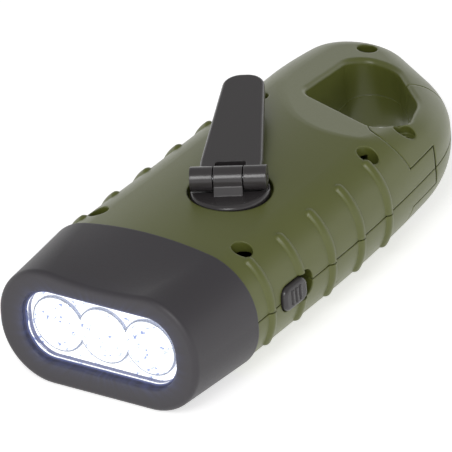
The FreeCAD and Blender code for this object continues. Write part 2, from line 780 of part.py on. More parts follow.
gate_upper_blank = common("GateUpperBlank", [upper_form, gate_zone("GateUpperZone", 1, False)])
gate_upper_bores = fuse("GateUpperBores", [
    cylinder("GatePinBoreUpper", "(Sizes.pivot_r + Sizes.fit_gap) * 1 mm", "20 mm", PX, PY, "10 mm"),
    cylinder("GateSink", "Sizes.sink_r * 1 mm", "10 mm", PX, PY, "Sizes.gate_sink_z * 1 mm"),
])
finish(cut("GateUpper", gate_upper_blank, gate_upper_bores), "gate_upper")
gate_lower_blank = common("GateLowerBlank", [lower_form, gate_zone("GateLowerZone", -1, False)])
gate_lower_bore = cylinder("GatePinBoreLower", "(Sizes.pivot_r + Sizes.fit_gap) * 1 mm", "12 mm",
                           PX, PY, "(Sizes.gate_pin_low_z - Sizes.gate_gap) * 1 mm")
finish(cut("GateLower", gate_lower_blank, gate_lower_bore), "gate_lower")
finish(cylinder("GatePin", "Sizes.pivot_r * 1 mm", "Sizes.gate_pin_length * 1 mm", PX, PY,
                "Sizes.gate_pin_low_z * 1 mm"), "gate_pin", "Sizes.pivot_y * 1 mm")


# Head cap: a lofted hood with a stepped window.

def hood_section(half, top, corner, waist):
    """Return a rounded section; its top edge bulges (waist 0) or dips (waist above 0)."""
    foot_r = size("cap_foot_r")
    cx = half - corner
    if waist > 0:
        cz = top - corner
        swing = (cx ** 2 + waist ** 2) / (2.0 * waist)
        crown_c = cz + math.sqrt((swing + corner) ** 2 - cx ** 2)
        lean = math.atan2(crown_c - cz, -cx)
        crown = arc((0, crown_c), swing, 1.5 * math.pi - (lean - math.pi / 2),
                    1.5 * math.pi + (lean - math.pi / 2))
    else:
        inner = size("crown_r") - corner
        cz = top - size("crown_r") + math.sqrt(inner ** 2 - cx ** 2)
        lean = math.atan2(cz - top + size("crown_r"), cx)
        crown = arc((0, top - size("crown_r")), size("crown_r"), lean, math.pi - lean)
    return [
        line((-half + foot_r, 0), (half - foot_r, 0)),
        arc((half - foot_r, foot_r), foot_r, -math.pi / 2, 0),
        line((half, foot_r), (half, cz)),
        arc((cx, cz), corner, 0, lean),
        crown,
        arc((-cx, cz), corner, math.pi - lean, math.pi),
        line((-half, cz), (-half, foot_r)),
        arc((-half + foot_r, foot_r), foot_r, math.pi, 1.5 * math.pi),
    ]


def lamp_plan(half_x, half_z, corner):
    """Return a rounded window outline centred on the lamp."""
    z = size("lamp_z")
    return rounded([
        (-half_x, z - half_z, corner), (half_x, z - half_z, corner),
        (half_x, z + half_z, corner), (-half_x, z + half_z, corner),
    ])


def window_plan(inset):
    """Return the window's outline moved inwards."""
    return lamp_plan(size("window_half_x") - inset, size("window_half_z") - inset,
                     size("window_corner_r") - inset)


def pod_plan(gap):
    """Return the outline of the hollow behind the window, less a gap."""
    return lamp_plan(size("window_half_x") + size("pod_side") - gap,
                     size("window_half_z") + size("pod_rise") - gap, size("pod_corner_r") - gap)


def facing(name, outline, near, depth):
    """Return a block of an outline that starts near mm ahead of the seam and runs forward by depth."""
    body = new_body(name)
    sketch = new_sketch(body, "XZ_Plane", outline, at_height(near))
    pad(body, sketch, depth)
    return body


FACE_Y = size("cap_length")
hood = new_body("Hood")
REAR_HALF = size("front_half") + size("cap_lip")
REAR_Z = size("crown_z") + size("cap_step")
FOOT_Y = FACE_Y + size("cap_foot_reach")
TILT = FreeCAD.Rotation(V(1, 0, 0), -size("cap_tilt_deg"))
hood_rear = new_sketch(hood, "XZ_Plane", hood_section(
    REAR_HALF, REAR_Z, size("cap_rear_corner"), 0.0),
    FreeCAD.Placement(V(size("mid_x"), 0, 0), FreeCAD.Rotation()))
hood_front = new_sketch(hood, "XZ_Plane", hood_section(
    REAR_HALF - size("cap_taper"), REAR_Z - size("cap_fall"), size("cap_front_corner"), size("cap_waist")),
    FreeCAD.Placement(V(size("mid_x"), 0, FOOT_Y), TILT))
loft = hood.newObject("PartDesign::AdditiveLoft", "HoodLoft")
loft.Profile = hood_rear
loft.Sections = [hood_front]
loft.Ruled = True
doc.recompute()
FACE_BAND = -FACE_Y + size("cap_foot_reach") + 0.1
round_edges(hood, lambda e: max(v.Y for v in e.Vertexes) < FACE_BAND, "Sizes.cap_edge_r * 1 mm")
window_edge = new_sketch(hood, "XZ_Plane", window_plan(0.0), at_height(FOOT_Y))
pocket(hood, window_edge, "(Sizes.window_depth + Sizes.cap_foot_reach) * 1 mm")
window_step = new_sketch(hood, "XZ_Plane", window_plan(size("window_ledge")), at_height(FOOT_Y))
pocket(hood, window_step, "10 mm")
hollow = new_sketch(hood, "XZ_Plane", pod_plan(0.0))
pocket(hood, hollow, "(Sizes.cap_length - Sizes.cap_front_wall) * 1 mm", flip=True)
round_edges(hood, lambda e: max(v.Y for v in e.Vertexes) < FACE_BAND
            and max(abs(v.X) for v in e.Vertexes) < size("window_half_x") + 0.01
            and max(abs(v.Z - size("lamp_z")) for v in e.Vertexes) < size("window_half_z") + 0.01,
            "Sizes.window_edge_r * 1 mm")
finish(hood, "head_cap")

# Lens, reflector with three merged cups, lamps and their board.
LEDGE, GAP = size("window_ledge"), size("gate_gap")
BOARD_FRONT = size("lamp_back_y") - GAP
lens = facing("Lens", window_plan(LEDGE + size("fit_gap")), FACE_Y - size("lens_set"),
              "Sizes.lens_thick * 1 mm")
finish(lens, "lens")
reflector_blank = fuse("ReflectorBlank", [
    facing("ReflectorNose", window_plan(LEDGE + 2.0 * size("fit_gap")),
           FACE_Y - size("lens_set") - GAP - size("reflector_lip"), "Sizes.reflector_lip * 1 mm"),
    facing("ReflectorBlock", pod_plan(GAP), size("lamp_back_y"),
           "(Sizes.cap_length - Sizes.cap_front_wall - Sizes.gate_gap - Sizes.lamp_back_y) * 1 mm"),
])


def cup(k):
    """Return one cup's cone and its lamp hole."""
    cone = doc.addObject("Part::Cone", "Cup_%d" % k)
    cone.setExpression("Radius1", "Sizes.cup_r * 1 mm")
    cone.setExpression("Radius2", "(Sizes.led_r + Sizes.led_fit + Sizes.nib_clear) * 1 mm")
    cone.setExpression("Height", "(Sizes.cap_length - Sizes.lens_set - Sizes.lamp_back_y"
                       " - Sizes.cup_floor) * 1 mm")
    cone.Placement.Rotation = FreeCAD.Rotation(V(0, 0, 1), V(0, 1, 0))
    hole = cylinder("CupHole_%d" % k, "(Sizes.led_r + Sizes.led_fit) * 1 mm", "14 mm",
                    "%d * Sizes.lamp_pitch * 1 mm" % k, "-20 mm", "Sizes.lamp_z * 1 mm", V(0, 1, 0))
    for axis, value in zip("xyz", ("%d * Sizes.lamp_pitch * 1 mm" % k,
                                   "(Sizes.lens_set - Sizes.cap_length) * 1 mm",
                                   "Sizes.lamp_z * 1 mm")):
        cone.setExpression("Placement.Base." + axis, value)
    return [cone, hole]


cups = fuse("Cups", cup(-1) + cup(0) + cup(1))
finish(cut("Reflector", reflector_blank, cups), "reflector")


def lamp(k):
    """Return one domed lamp."""
    x = "%d * Sizes.lamp_pitch * 1 mm" % k
    stem = cylinder("LampStem_%d" % k, "Sizes.led_r * 1 mm",
                    "(Sizes.led_dome_y + Sizes.gate_gap - Sizes.lamp_back_y) * 1 mm", x,
                    "-Sizes.led_dome_y * 1 mm", "Sizes.lamp_z * 1 mm", V(0, 1, 0))
    dome = doc.addObject("Part::Sphere", "LampDome_%d" % k)
    dome.setExpression("Radius", "Sizes.led_r * 1 mm")
    for axis, value in zip("xyz", (x, "-Sizes.led_dome_y * 1 mm", "Sizes.lamp_z * 1 mm")):
        dome.setExpression("Placement.Base." + axis, value)
    return fuse("Lamp_%d" % k, [stem, dome])


finish(group("Lamps", [lamp(-1), lamp(0), lamp(1)]), "leds")
finish(facing("LampBoard", pod_plan(GAP), BOARD_FRONT - size("board_thick"), BOARD_THICK), "led_board")

# Crank disc with its knuckle, gear and screw; the disc turns in the upper shell's recess.
TURN = FreeCAD.Rotation(V(0, 0, 1), size("lever_turn_deg"))
HINGE_DIR = TURN.multVec(V(1, 0, 0))


def along_hinge(name, radius, start, length):
    """Return a cylinder on the lever's hinge axis."""
    return cylinder(name, radius, length,
                    "(Sizes.crank_x + (%s) * cos(Sizes.lever_turn_deg * 1 deg)) * 1 mm" % start,
                    "(Sizes.crank_y + (%s) * sin(Sizes.lever_turn_deg * 1 deg)) * 1 mm" % start,
                    "Sizes.axis_z * 1 mm", HINGE_DIR)


disc_blank = cylinder("DiscBlank", "Sizes.disc_r * 1 mm",
                      "(Sizes.disc_top_z - Sizes.recess_floor_z - Sizes.gate_gap) * 1 mm", CX, CY,
                      "(Sizes.recess_floor_z + Sizes.gate_gap) * 1 mm")
doc.recompute()
DISC_TOP = size("disc_top_z") - 0.01
disc_round = rounded_rims("DiscRound", disc_blank, size("disc_edge_r"), lambda e: e.Vertexes[0].Z > DISC_TOP)
HINGE_CUT = ("-1.5 * Sizes.disc_r", "3 * Sizes.disc_r * 1 mm")
cradle = along_hinge("Cradle", "(Sizes.barrel_r + Sizes.gate_gap) * 1 mm", *HINGE_CUT)
disc_dished = cut("DiscDished", disc_round, cradle)
knuckle_barrel = along_hinge("KnuckleBarrel", "Sizes.barrel_r * 1 mm", "-Sizes.knuckle_width / 2",
                             "Sizes.knuckle_width * 1 mm")
foot = new_body("KnuckleFoot")
FOOT_HALF, FOOT_TOP = size("knuckle_foot_half"), size("knuckle_top_half")
FOOT_LOW = -size("knuckle_foot_drop")
foot_sketch = new_sketch(foot, "YZ_Plane", rounded([
    (-FOOT_HALF, FOOT_LOW, 0.05), (FOOT_HALF, FOOT_LOW, 0.05), (FOOT_HALF, FOOT_LOW + 1.5, 0.3),
    (FOOT_TOP, 0.0, 1.5), (-FOOT_TOP, 0.0, 1.5), (-FOOT_HALF, FOOT_LOW + 1.5, 0.3),
]), at_height(-size("knuckle_width") / 2))
pad(foot, foot_sketch, "Sizes.knuckle_width * 1 mm")
foot.Placement = FreeCAD.Placement(V(size("crank_x"), size("crank_y"), size("axis_z")), TURN)
disc_solid = fuse("DiscSolid", [disc_dished, knuckle_barrel, foot])
disc_bores = fuse("DiscBores", [
    along_hinge("HingeBoreDisc", "(Sizes.hinge_pin_r + Sizes.fit_gap) * 1 mm", *HINGE_CUT),
    cylinder("CrankScrewBore", "(Sizes.axle_r + Sizes.fit_gap) * 1 mm", "3.6 mm", CX, CY, "25 mm"),
])
finish(cut("CrankDisc", disc_solid, disc_bores), "crank_disc")
hinge_pin = along_hinge("HingePin", "Sizes.hinge_pin_r * 1 mm",
                        "Sizes.hinge_pin_inset - Sizes.barrel_length / 2",
                        "(Sizes.barrel_length - 2 * Sizes.hinge_pin_inset) * 1 mm")
finish(group("HingePinPiece", [hinge_pin]), "hinge_pin")


def gear_outline(teeth, play, phase):
    """Return a gear outline with slightly thinned trapezoid teeth."""
    module = size("gear_module")
    pitch_r = module * teeth / 2.0
    tip_r = pitch_r + 0.8 * module
    root_r = pitch_r - 1.1 * module
    half = (math.pi * module / 2.0 - play) / 2.0
    points = []
    for k in range(int(teeth)):
        middle = phase + 2.0 * math.pi * k / teeth
        for radius, width in ((root_r, half + 0.30 * module), (pitch_r, half), (tip_r, half - 0.34 * module)):
            points.append((radius, middle - width / radius))
        for radius, width in ((tip_r, half - 0.34 * module), (pitch_r, half), (root_r, half + 0.30 * module)):
            points.append((radius, middle + width / radius))
    return polygon([(r * math.cos(a), r * math.sin(a)) for r, a in points])


def gear(name, teeth, phase, x, y, low, thick):
    """Return a spur gear at a place given as expressions."""
    body = new_body(name)
    sketch = new_sketch(body, "XY_Plane", gear_outline(teeth, size("gear_play"), phase))
    pad(body, sketch, thick)
    for axis, value in zip("xyz", (x, y, low)):
        body.setExpression("Placement.Base." + axis, value)
    return body


# Phases put a tooth of each driver in a gap of the gear it drives.
TO_IDLER = math.radians(size("idler_angle_deg"))
TO_ROTOR = math.radians(size("rotor_angle_deg"))
GEAR_LOW = "Sizes.crank_gear_z * 1 mm"
GEAR_THICK = "Sizes.gear_thick * 1 mm"
crank_wheel = gear("CrankWheel", size("crank_teeth"), TO_IDLER, CX, CY, GEAR_LOW, GEAR_THICK)
crank_shaft = cylinder("CrankShaft", "Sizes.shaft_r * 1 mm",
                       "(Sizes.recess_floor_z + Sizes.gate_gap - Sizes.crank_gear_z) * 1 mm",
                       CX, CY, GEAR_LOW)
crank_bore = cylinder("CrankBore", "(Sizes.axle_r + Sizes.fit_gap) * 1 mm", "10 mm", CX, CY, "19 mm")
finish(cut("CrankGear", fuse("CrankGearSolid", [crank_wheel, crank_shaft]), crank_bore), "crank_gear")
screw_head = cylinder("CrankScrewHead", "2.2 mm", "1.1 mm", CX, CY, GEAR_LOW + " - 1.1 mm")
screw_shank = cylinder("CrankScrewShank", "Sizes.axle_r * 1 mm", "7 mm", CX, CY, GEAR_LOW + " - 0.5 mm")
finish(fuse("CrankScrew", [screw_head, screw_shank]), "crank_screw")

# Idler: a pinion under the crank gear's teeth and a wheel that drives the rotor.
half_step = math.pi / size("pinion_teeth")
idler_pinion = gear("IdlerPinion", size("pinion_teeth"), TO_IDLER + math.pi + half_step, IX, IY,
                    GEAR_LOW + " - 0.3 mm", "Sizes.gear_thick * 1 mm + 0.6 mm")
idler_wheel = gear("IdlerWheel", size("idler_teeth"), TO_ROTOR, IX, IY, "Sizes.idler_gear_z * 1 mm",
                   GEAR_THICK)
idler_hub = cylinder("IdlerHub", "Sizes.hub_r * 1 mm",
                     "(Sizes.crank_gear_z - Sizes.idler_gear_z + 0.6) * 1 mm", IX, IY,
                     "Sizes.idler_gear_z * 1 mm - 0.9 mm")
idler_bore = cylinder("IdlerBore", "(Sizes.axle_r + Sizes.fit_gap) * 1 mm", "14 mm", IX, IY, "14 mm")
finish(cut("IdlerGear", fuse("IdlerSolid", [idler_pinion, idler_wheel, idler_hub]), idler_bore), "idler_gear")
finish(group("IdlerAxlePiece", [cylinder("IdlerAxle", "Sizes.axle_r * 1 mm", "10.6 mm", IX, IY, PLATE_LOW)]),
       "idler_axle")

# Rotor: pinion on a sleeve above the gear plate, magnet below it.
rotor_pinion = gear("RotorPinion", size("pinion_teeth"), TO_ROTOR + math.pi + half_step, RX, RY,
                    "Sizes.idler_gear_z * 1 mm - 0.3 mm", "Sizes.gear_thick * 1 mm + 0.6 mm")
rotor_sleeve = cylinder("RotorSleeve", "Sizes.sleeve_r * 1 mm", "13.6 mm", RX, RY,
                        "(Sizes.magnet_low_z - 0.5) * 1 mm")
rotor_bore = cylinder("RotorBore", "(Sizes.axle_r + Sizes.fit_gap) * 1 mm", "20 mm", RX, RY, "1 mm")
finish(cut("RotorGear", fuse("RotorGearSolid", [rotor_pinion, rotor_sleeve]), rotor_bore), "rotor_pinion")
magnet_blank = cylinder("MagnetBlank", "Sizes.magnet_r * 1 mm", "Sizes.magnet_height * 1 mm", RX, RY,
                        "Sizes.magnet_low_z * 1 mm")
magnet_bore = cylinder("MagnetBore", "Sizes.sleeve_r * 1 mm", "(Sizes.magnet_height + 2) * 1 mm", RX, RY,
                       "(Sizes.magnet_low_z - 1) * 1 mm")
magnet_ring = cut("MagnetRing", magnet_blank, magnet_bore)
finish(magnet_ring, "rotor_magnet")
finish(group("RotorAxlePiece", [cylinder("RotorAxle", "Sizes.axle_r * 1 mm", "18.6 mm", RX, RY, "1.7 mm")]),
       "rotor_axle")
GROOVE_LOW = "(Sizes.coil_low_z - 0.1) * 1 mm"
GROOVE_HIGH = "(Sizes.coil_height + 0.2) * 1 mm"
stator_blank = cylinder("StatorBlank", "Sizes.stator_r * 1 mm", "Sizes.stator_height * 1 mm", RX, RY,
                        "Sizes.cavity_floor_z * 1 mm")
stator_bore = cylinder("StatorBore", "Sizes.stator_bore_r * 1 mm", "(Sizes.stator_height + 2) * 1 mm", RX, RY,
                       "(Sizes.cavity_floor_z - 1) * 1 mm")
groove_outer = cylinder("GrooveOuter", "(Sizes.stator_r + 1) * 1 mm", GROOVE_HIGH, RX, RY, GROOVE_LOW)
groove_inner = cylinder("GrooveInner", "Sizes.stator_neck_r * 1 mm", GROOVE_HIGH, RX, RY, GROOVE_LOW)
stator_ring = cut("StatorRing", stator_blank, stator_bore)
stator_groove = cut("StatorGroove", groove_outer, groove_inner)
finish(cut("StatorCore", stator_ring, stator_groove), "stator_core")
coil_blank = cylinder("CoilBlank", "Sizes.coil_r * 1 mm", "Sizes.coil_height * 1 mm", RX, RY,
                      "Sizes.coil_low_z * 1 mm")
coil_bore = cylinder("CoilBore", "Sizes.stator_neck_r * 1 mm", "(Sizes.coil_height + 2) * 1 mm", RX, RY,
                     "(Sizes.coil_low_z - 1) * 1 mm")
coil_ring = cut("CoilRing", coil_blank, coil_bore)
finish(coil_ring, "stator_coil")

# Gear plate on three posts, with the axles' seats.
plate = new_body("GearPlate")
plate_sketch = new_sketch(plate, "XY_Plane", rounded([
    (-6.5, 31.3, 2.0), (19.0, 31.3, 2.0), (19.0, 40.0, 2.0),
    (14.0, 55.0, 2.0), (4.0, 59.5, 2.0), (-5.0, 59.5, 2.0),
]))
pad(plate, plate_sketch, PLATE_THICK)
plate.setExpression("Placement.Base.z", PLATE_LOW)
plate_bores = fuse("PlateBores", [
    cylinder("PlateRotorBore", "(Sizes.sleeve_r + Sizes.nib_clear) * 1 mm", "6 mm", RX, RY, "13 mm"),
    cylinder("PlateIdlerBore", "(Sizes.axle_r + Sizes.fit_gap) * 1 mm", "6 mm", IX, IY, "13 mm"),
])
finish(cut("GearPlateBored", plate, plate_bores), "gear_plate")

# Main board, battery and switch.
board = new_body("MainBoard")
BOARD_NECK_HALF, BOARD_LEFT, BOARD_RIGHT = 14.5, -19.0, 21.6
BOARD_START, BOARD_NECK_END, BOARD_END = 4.0, 12.5, 29.0
board_sketch = new_sketch(board, "XY_Plane", polygon([
    (-BOARD_NECK_HALF, BOARD_START), (BOARD_NECK_HALF, BOARD_START), (BOARD_NECK_HALF, BOARD_NECK_END),
    (BOARD_RIGHT, BOARD_NECK_END), (BOARD_RIGHT, BOARD_END), (BOARD_LEFT, BOARD_END),
    (BOARD_LEFT, BOARD_NECK_END), (-BOARD_NECK_HALF, BOARD_NECK_END),
]))
pad(board, board_sketch, BOARD_THICK)
board.setExpression("Placement.Base.z", BOARD_LOW)
finish(board, "main_board")
cell = group("Battery", [cylinder("Cell", "Sizes.battery_r * 1 mm", "Sizes.battery_length * 1 mm",
                                  "Sizes.battery_x * 1 mm", "Sizes.battery_y * 1 mm",
                                  "(Sizes.cavity_floor_z + Sizes.battery_r) * 1 mm", V(0, 1, 0))])
finish(cell, "battery")
NIB_RUN = "(Sizes.slider_travel + Sizes.nib_width + 2 * Sizes.nib_clear)"
switch_blank = block("SwitchBlank", "Sizes.switch_x * 1 mm",
                     "(Sizes.nib_y - Sizes.nib_clear - Sizes.switch_wall) * 1 mm",
                     BOARD_LOW + " + " + BOARD_THICK, "Sizes.switch_deep * 1 mm",
                     "(%s + 2 * Sizes.switch_wall) * 1 mm" % NIB_RUN,
                     "Sizes.switch_height * 1 mm")
switch_slot = block("SwitchSlot", "(Sizes.nib_x - Sizes.nib_clear) * 1 mm",
                    "(Sizes.nib_y - Sizes.nib_clear) * 1 mm", "(Sizes.nib_z - Sizes.nib_clear) * 1 mm",
                    "Sizes.switch_deep * 1 mm", NIB_RUN + " * 1 mm",
                    "(Sizes.nib_height + 2 * Sizes.nib_clear) * 1 mm")
finish(cut("SwitchBody", switch_blank, switch_slot), "switch_body")

# Slide button: ridged cap outside, flange inside the wall and a nib in the switch.
button = new_body("SliderGrip")
face_x = size("slider_face_x")
button_sketch = new_sketch(button, "YZ_Plane", slider_plan(0.0, 0.0), at_height(SLOT_X + GAP))
pad(button, button_sketch, "Sizes.slider_face_x * 1 mm - " + FLANGE_X)
round_edges(button, lambda e: min(v.X for v in e.Vertexes) > face_x - 0.01, "1.0 mm")
ridges = [
    block("SliderRidge_%d" % k, "(Sizes.slider_face_x - Sizes.ridge_width) * 1 mm",
          "(Sizes.slider_y + (Sizes.slider_length - Sizes.ridge_width) / 2"
          " + %d * Sizes.ridge_pitch) * 1 mm" % k,
          "(Sizes.slider_low_z + Sizes.slider_corner_r / 2) * 1 mm",
          "(Sizes.ridge_width + Sizes.ridge_proud) * 1 mm", "Sizes.ridge_width * 1 mm",
          "(Sizes.slider_high_z - Sizes.slider_low_z - Sizes.slider_corner_r) * 1 mm")
    for k in (-1, 0, 1)
]
flange = block("SliderFlange", FLANGE_X, "Sizes.slider_y * 1 mm",
               "(Sizes.slider_low_z - Sizes.flange_reach) * 1 mm", "Sizes.flange_reach * 1 mm",
               "Sizes.slider_length * 1 mm",
               "(Sizes.slider_high_z - Sizes.slider_low_z + 2 * Sizes.flange_reach) * 1 mm")
nib = block("SliderNib", "Sizes.nib_x * 1 mm", "Sizes.nib_y * 1 mm", "Sizes.nib_z * 1 mm",
            FLANGE_X + " + Sizes.flange_reach / 2 * 1 mm - Sizes.nib_x * 1 mm", "Sizes.nib_width * 1 mm",
            "Sizes.nib_height * 1 mm")
finish(fuse("SlideButton", [button, flange, nib] + ridges), "slide_button")

# Lever, built flat on its hinge axis, then raised and turned into place.
LEVER_AT = FreeCAD.Placement(
    V(size("crank_x"), size("crank_y"), size("axis_z")),
    TURN * FreeCAD.Rotation(V(1, 0, 0), size("lever_rise_deg")))


def in_lever(item):
    """Move a piece built in the lever's own frame to its place."""
    item.Placement = LEVER_AT.multiply(item.Placement)
    return item


base_half, tip_half = size("lever_base_half"), size("lever_tip_half")
reach = size("lever_length")
under = -size("lever_under")
lever = new_body("LeverPlate")
root, waist = size("lever_root"), size("lever_waist")
lever_sketch = new_sketch(lever, "XY_Plane", rounded([
    (-base_half, root, 0.4), (base_half, root, 0.4), (base_half, waist, 6.0),
    (tip_half, reach, tip_half * 0.93), (-tip_half, reach, tip_half * 0.93), (-base_half, waist, 6.0),
]), at_height(under))
pad(lever, lever_sketch, "Sizes.lever_thick * 1 mm")
round_edges(lever, lambda e: min(v.Z for v in e.Vertexes) > under + size("lever_thick") - 0.01,
            "Sizes.lever_edge_r * 1 mm")
gap_half = size("knuckle_width") / 2.0 + GAP
notch_y = size("notch_depth")
notch = new_sketch(lever, "XY_Plane", rounded([
    (-gap_half, -root, 0.3), (gap_half, -root, 0.3), (gap_half, notch_y, 0.8), (-gap_half, notch_y, 0.8)]))
pocket(lever, notch, through=True)
in_lever(lever)
BARREL_ENDS = {"Left": "-Sizes.barrel_length / 2", "Right": "Sizes.knuckle_width / 2 + Sizes.gate_gap"}
BARREL_RUN = "((Sizes.barrel_length - Sizes.knuckle_width) / 2 - Sizes.gate_gap) * 1 mm"
barrels = [
    along_hinge("Barrel" + tag, "Sizes.barrel_r * 1 mm", start, BARREL_RUN)
    for tag, start in BARREL_ENDS.items()
]
lever_solid = fuse("LeverSolid", [lever] + barrels)
KNOB_Y = "(Sizes.lever_length - Sizes.tip_margin) * 1 mm"
PLATE_UNDER = "-Sizes.lever_under * 1 mm"
KNOB_TOP = PLATE_UNDER + " - Sizes.gate_gap * 1 mm"
KNOB_LOW = KNOB_TOP + " - Sizes.knob_height * 1 mm"
RIVET_BITE = "Sizes.rivet_bite * 1 mm"
rivet_bore = cylinder("RivetBore", "Sizes.rivet_r * 1 mm", RIVET_BITE + " + 1 mm", "0 mm", KNOB_Y,
                      PLATE_UNDER + " - 1 mm")
doc.recompute()
rivet_hold = group("RivetBoreTurned", [rivet_bore])
rivet_hold.Placement = LEVER_AT
lever_bores = fuse("LeverBores", [
    along_hinge("HingeBoreLever", "(Sizes.hinge_pin_r + Sizes.fit_gap) * 1 mm", *HINGE_CUT),
    rivet_hold,
])
finish(cut("CrankLever", lever_solid, lever_bores), "crank_lever")

# Knob under the lever's tip, turning on a headed rivet.
knob_blank = cylinder("KnobBlank", "Sizes.knob_r * 1 mm", "Sizes.knob_height * 1 mm", "0 mm", KNOB_Y,
                      KNOB_LOW)
doc.recompute()
knob_round = rounded_rims("KnobRound", knob_blank, size("knob_edge_r"), lambda e: True)
HEAD_LOW = KNOB_LOW + " + 0.2 mm"
knob_bores = fuse("KnobBores", [
    cylinder("KnobBore", "(Sizes.rivet_r + Sizes.fit_gap) * 1 mm", "Sizes.knob_height * 1 mm + 1 mm", "0 mm",
             KNOB_Y, KNOB_LOW),
    cylinder("KnobHeadRoom", "Sizes.knob_sink_r * 1 mm", "2 mm", "0 mm", KNOB_Y, KNOB_LOW + " - 1 mm"),
])
knob_cut = cut("KnobCut", knob_round, knob_bores)
rivet_solid = fuse("RivetSolid", [
    cylinder("RivetShank", "Sizes.rivet_r * 1 mm",
             RIVET_BITE + " + (Sizes.gate_gap + Sizes.knob_height) * 1 mm - 0.2 mm",
             "0 mm", KNOB_Y, HEAD_LOW),
    cylinder("RivetHead", "Sizes.rivet_head_r * 1 mm", "Sizes.rivet_head_h * 1 mm", "0 mm", KNOB_Y, HEAD_LOW),
])
for piece, label in ((knob_cut, "crank_knob"), (rivet_solid, "knob_rivet")):
    holder = group(label.title().replace("_", ""), [piece])
    holder.Placement = LEVER_AT
    finish(holder, label, "Sizes.crank_y * 1 mm")

# Screws that close the shells.

def shell_screw(tag, x, y):
    """Return one screw with its head on the sink floor."""
    head = cylinder("ScrewHead_" + tag, "Sizes.screw_head_r * 1 mm", "Sizes.screw_head_h * 1 mm", x, y,
                    "Sizes.sink_floor_z * 1 mm")
    shank = cylinder("ScrewShank_" + tag, "Sizes.screw_r * 1 mm", "(Sizes.screw_length + 0.5) * 1 mm", x, y,
                     "(Sizes.sink_floor_z - Sizes.screw_length) * 1 mm")
    return fuse("Screw_" + tag, [head, shank])


finish(group("ShellScrews", [shell_screw(*screw) for screw in SCREWS]), "shell_screws")

doc.recompute()
for item in doc.Objects:
    if "Invalid" in item.State or "Error" in item.State:
        raise RuntimeError("broken object " + item.Name)
for item in NODES:
    if item.Shape.isNull() or not item.Shape.isValid():
        raise RuntimeError("bad shape " + item.Label)
    print(item.Label, len(item.Shape.Solids), round(item.Shape.Volume, 1), item.Shape.BoundBox)
    item.Shape.exportStep("parts/%s.step" % item.Label)
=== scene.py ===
"""Dresses the hand crank flashlight: finishes, fine detail, lit lamps, studio and camera."""

import logging
import math
from collections.abc import Sequence
from dataclasses import dataclass
from enum import Enum
from typing import Any, Optional, Union

import bmesh
import bpy
from mathutils import Matrix, Vector


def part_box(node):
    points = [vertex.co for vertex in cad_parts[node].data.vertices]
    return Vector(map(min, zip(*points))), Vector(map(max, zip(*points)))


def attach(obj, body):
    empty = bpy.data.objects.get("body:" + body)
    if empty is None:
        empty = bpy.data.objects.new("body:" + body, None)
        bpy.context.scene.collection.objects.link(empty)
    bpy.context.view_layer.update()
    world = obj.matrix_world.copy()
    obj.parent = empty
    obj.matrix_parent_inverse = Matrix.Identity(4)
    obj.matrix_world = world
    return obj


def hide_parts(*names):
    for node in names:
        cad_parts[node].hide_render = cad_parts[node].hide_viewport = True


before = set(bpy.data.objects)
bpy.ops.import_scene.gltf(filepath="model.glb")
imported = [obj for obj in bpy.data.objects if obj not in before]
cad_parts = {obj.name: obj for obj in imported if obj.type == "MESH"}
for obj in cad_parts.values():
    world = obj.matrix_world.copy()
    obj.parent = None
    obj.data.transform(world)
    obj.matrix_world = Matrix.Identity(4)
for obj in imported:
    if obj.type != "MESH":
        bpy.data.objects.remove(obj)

LOG = logging.getLogger("flashlight")
MM = 0.001
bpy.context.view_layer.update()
WHITE = (1.0, 1.0, 1.0, 1.0)
UNIT = (0.0, 1.0)
# Nearly all of a noise texture's values lie in this span.
NOISE_SPAN = (0.3, 0.7)
# A wave texture of scale 1 repeats after this length.
WAVE_LENGTH = 0.314

Colour = tuple[float, float, float, float]
Span = tuple[float, float]
Plan = list[tuple[float, float]]


class Change(Enum):
    """How one solid changes another, by Blender's own word for it."""

    ADD = "UNION"
    CUT = "DIFFERENCE"


def linear(hex_colour: str) -> Colour:
    """Turn an sRGB hex colour into linear light by the standard's own curve.

    Args:
        hex_colour: Six hex digits with a leading hash.

    Returns:
        Linear red, green and blue, and a full alpha.
    """
    digits = hex_colour.lstrip("#")
    channels = [int(digits[k:k + 2], 16) / 255.0 for k in (0, 2, 4)]
    bent = [c / 12.92 if c <= 0.04045 else ((c + 0.055) / 1.055) ** 2.4 for c in channels]
    return (bent[0], bent[1], bent[2], 1.0)


def scaled(colour: Colour, gain: float, lift: float = 0.0) -> Colour:
    """Lighten or darken a linear colour.

    Args:
        colour: The linear colour.
        gain: What each channel is multiplied by.
        lift: What is then added to it.

    Returns:
        The new colour, no channel of it above 1.
    """
    red, green, blue = (min(1.0, c * gain + lift) for c in colour[:3])
    return (red, green, blue, 1.0)


def spans(box: Sequence[Sequence[float]]) -> tuple[Vector, Vector, Vector, Vector]:
    """Measure a box.

    Args:
        box: Its low and high corners.

    Returns:
        Both corners, the middle and half the size.
    """
    low, high = (Vector(corner) for corner in box)
    return low, high, (low + high) / 2.0, (high - low) / 2.0


def add_node(tree: bpy.types.NodeTree, kind: str, settings: Optional[dict[Any, Any]] = None,
             links: Optional[dict[Any, Any]] = None) -> bpy.types.Node:
    """Add one node with its settings and incoming links.

    Args:
        tree: The node tree it goes in.
        kind: Blender's node type name.
        settings: Input socket values, or node attributes for names that are no socket.
        links: Input socket name or index to the output socket that feeds it.

    Returns:
        The new node.
    """
    node = tree.nodes.new(kind)
    for name, value in (settings or {}).items():
        if isinstance(name, int) or name in node.inputs:
            node.inputs[name].default_value = value
        else:
            setattr(node, name, value)
    for name, socket in (links or {}).items():
        tree.links.new(socket, node.inputs[name])
    return node


def object_place(tree: bpy.types.NodeTree) -> bpy.types.NodeSocket:
    """Return the socket with a point's place on its own piece, in metres."""
    return add_node(tree, "ShaderNodeTexCoord").outputs["Object"]


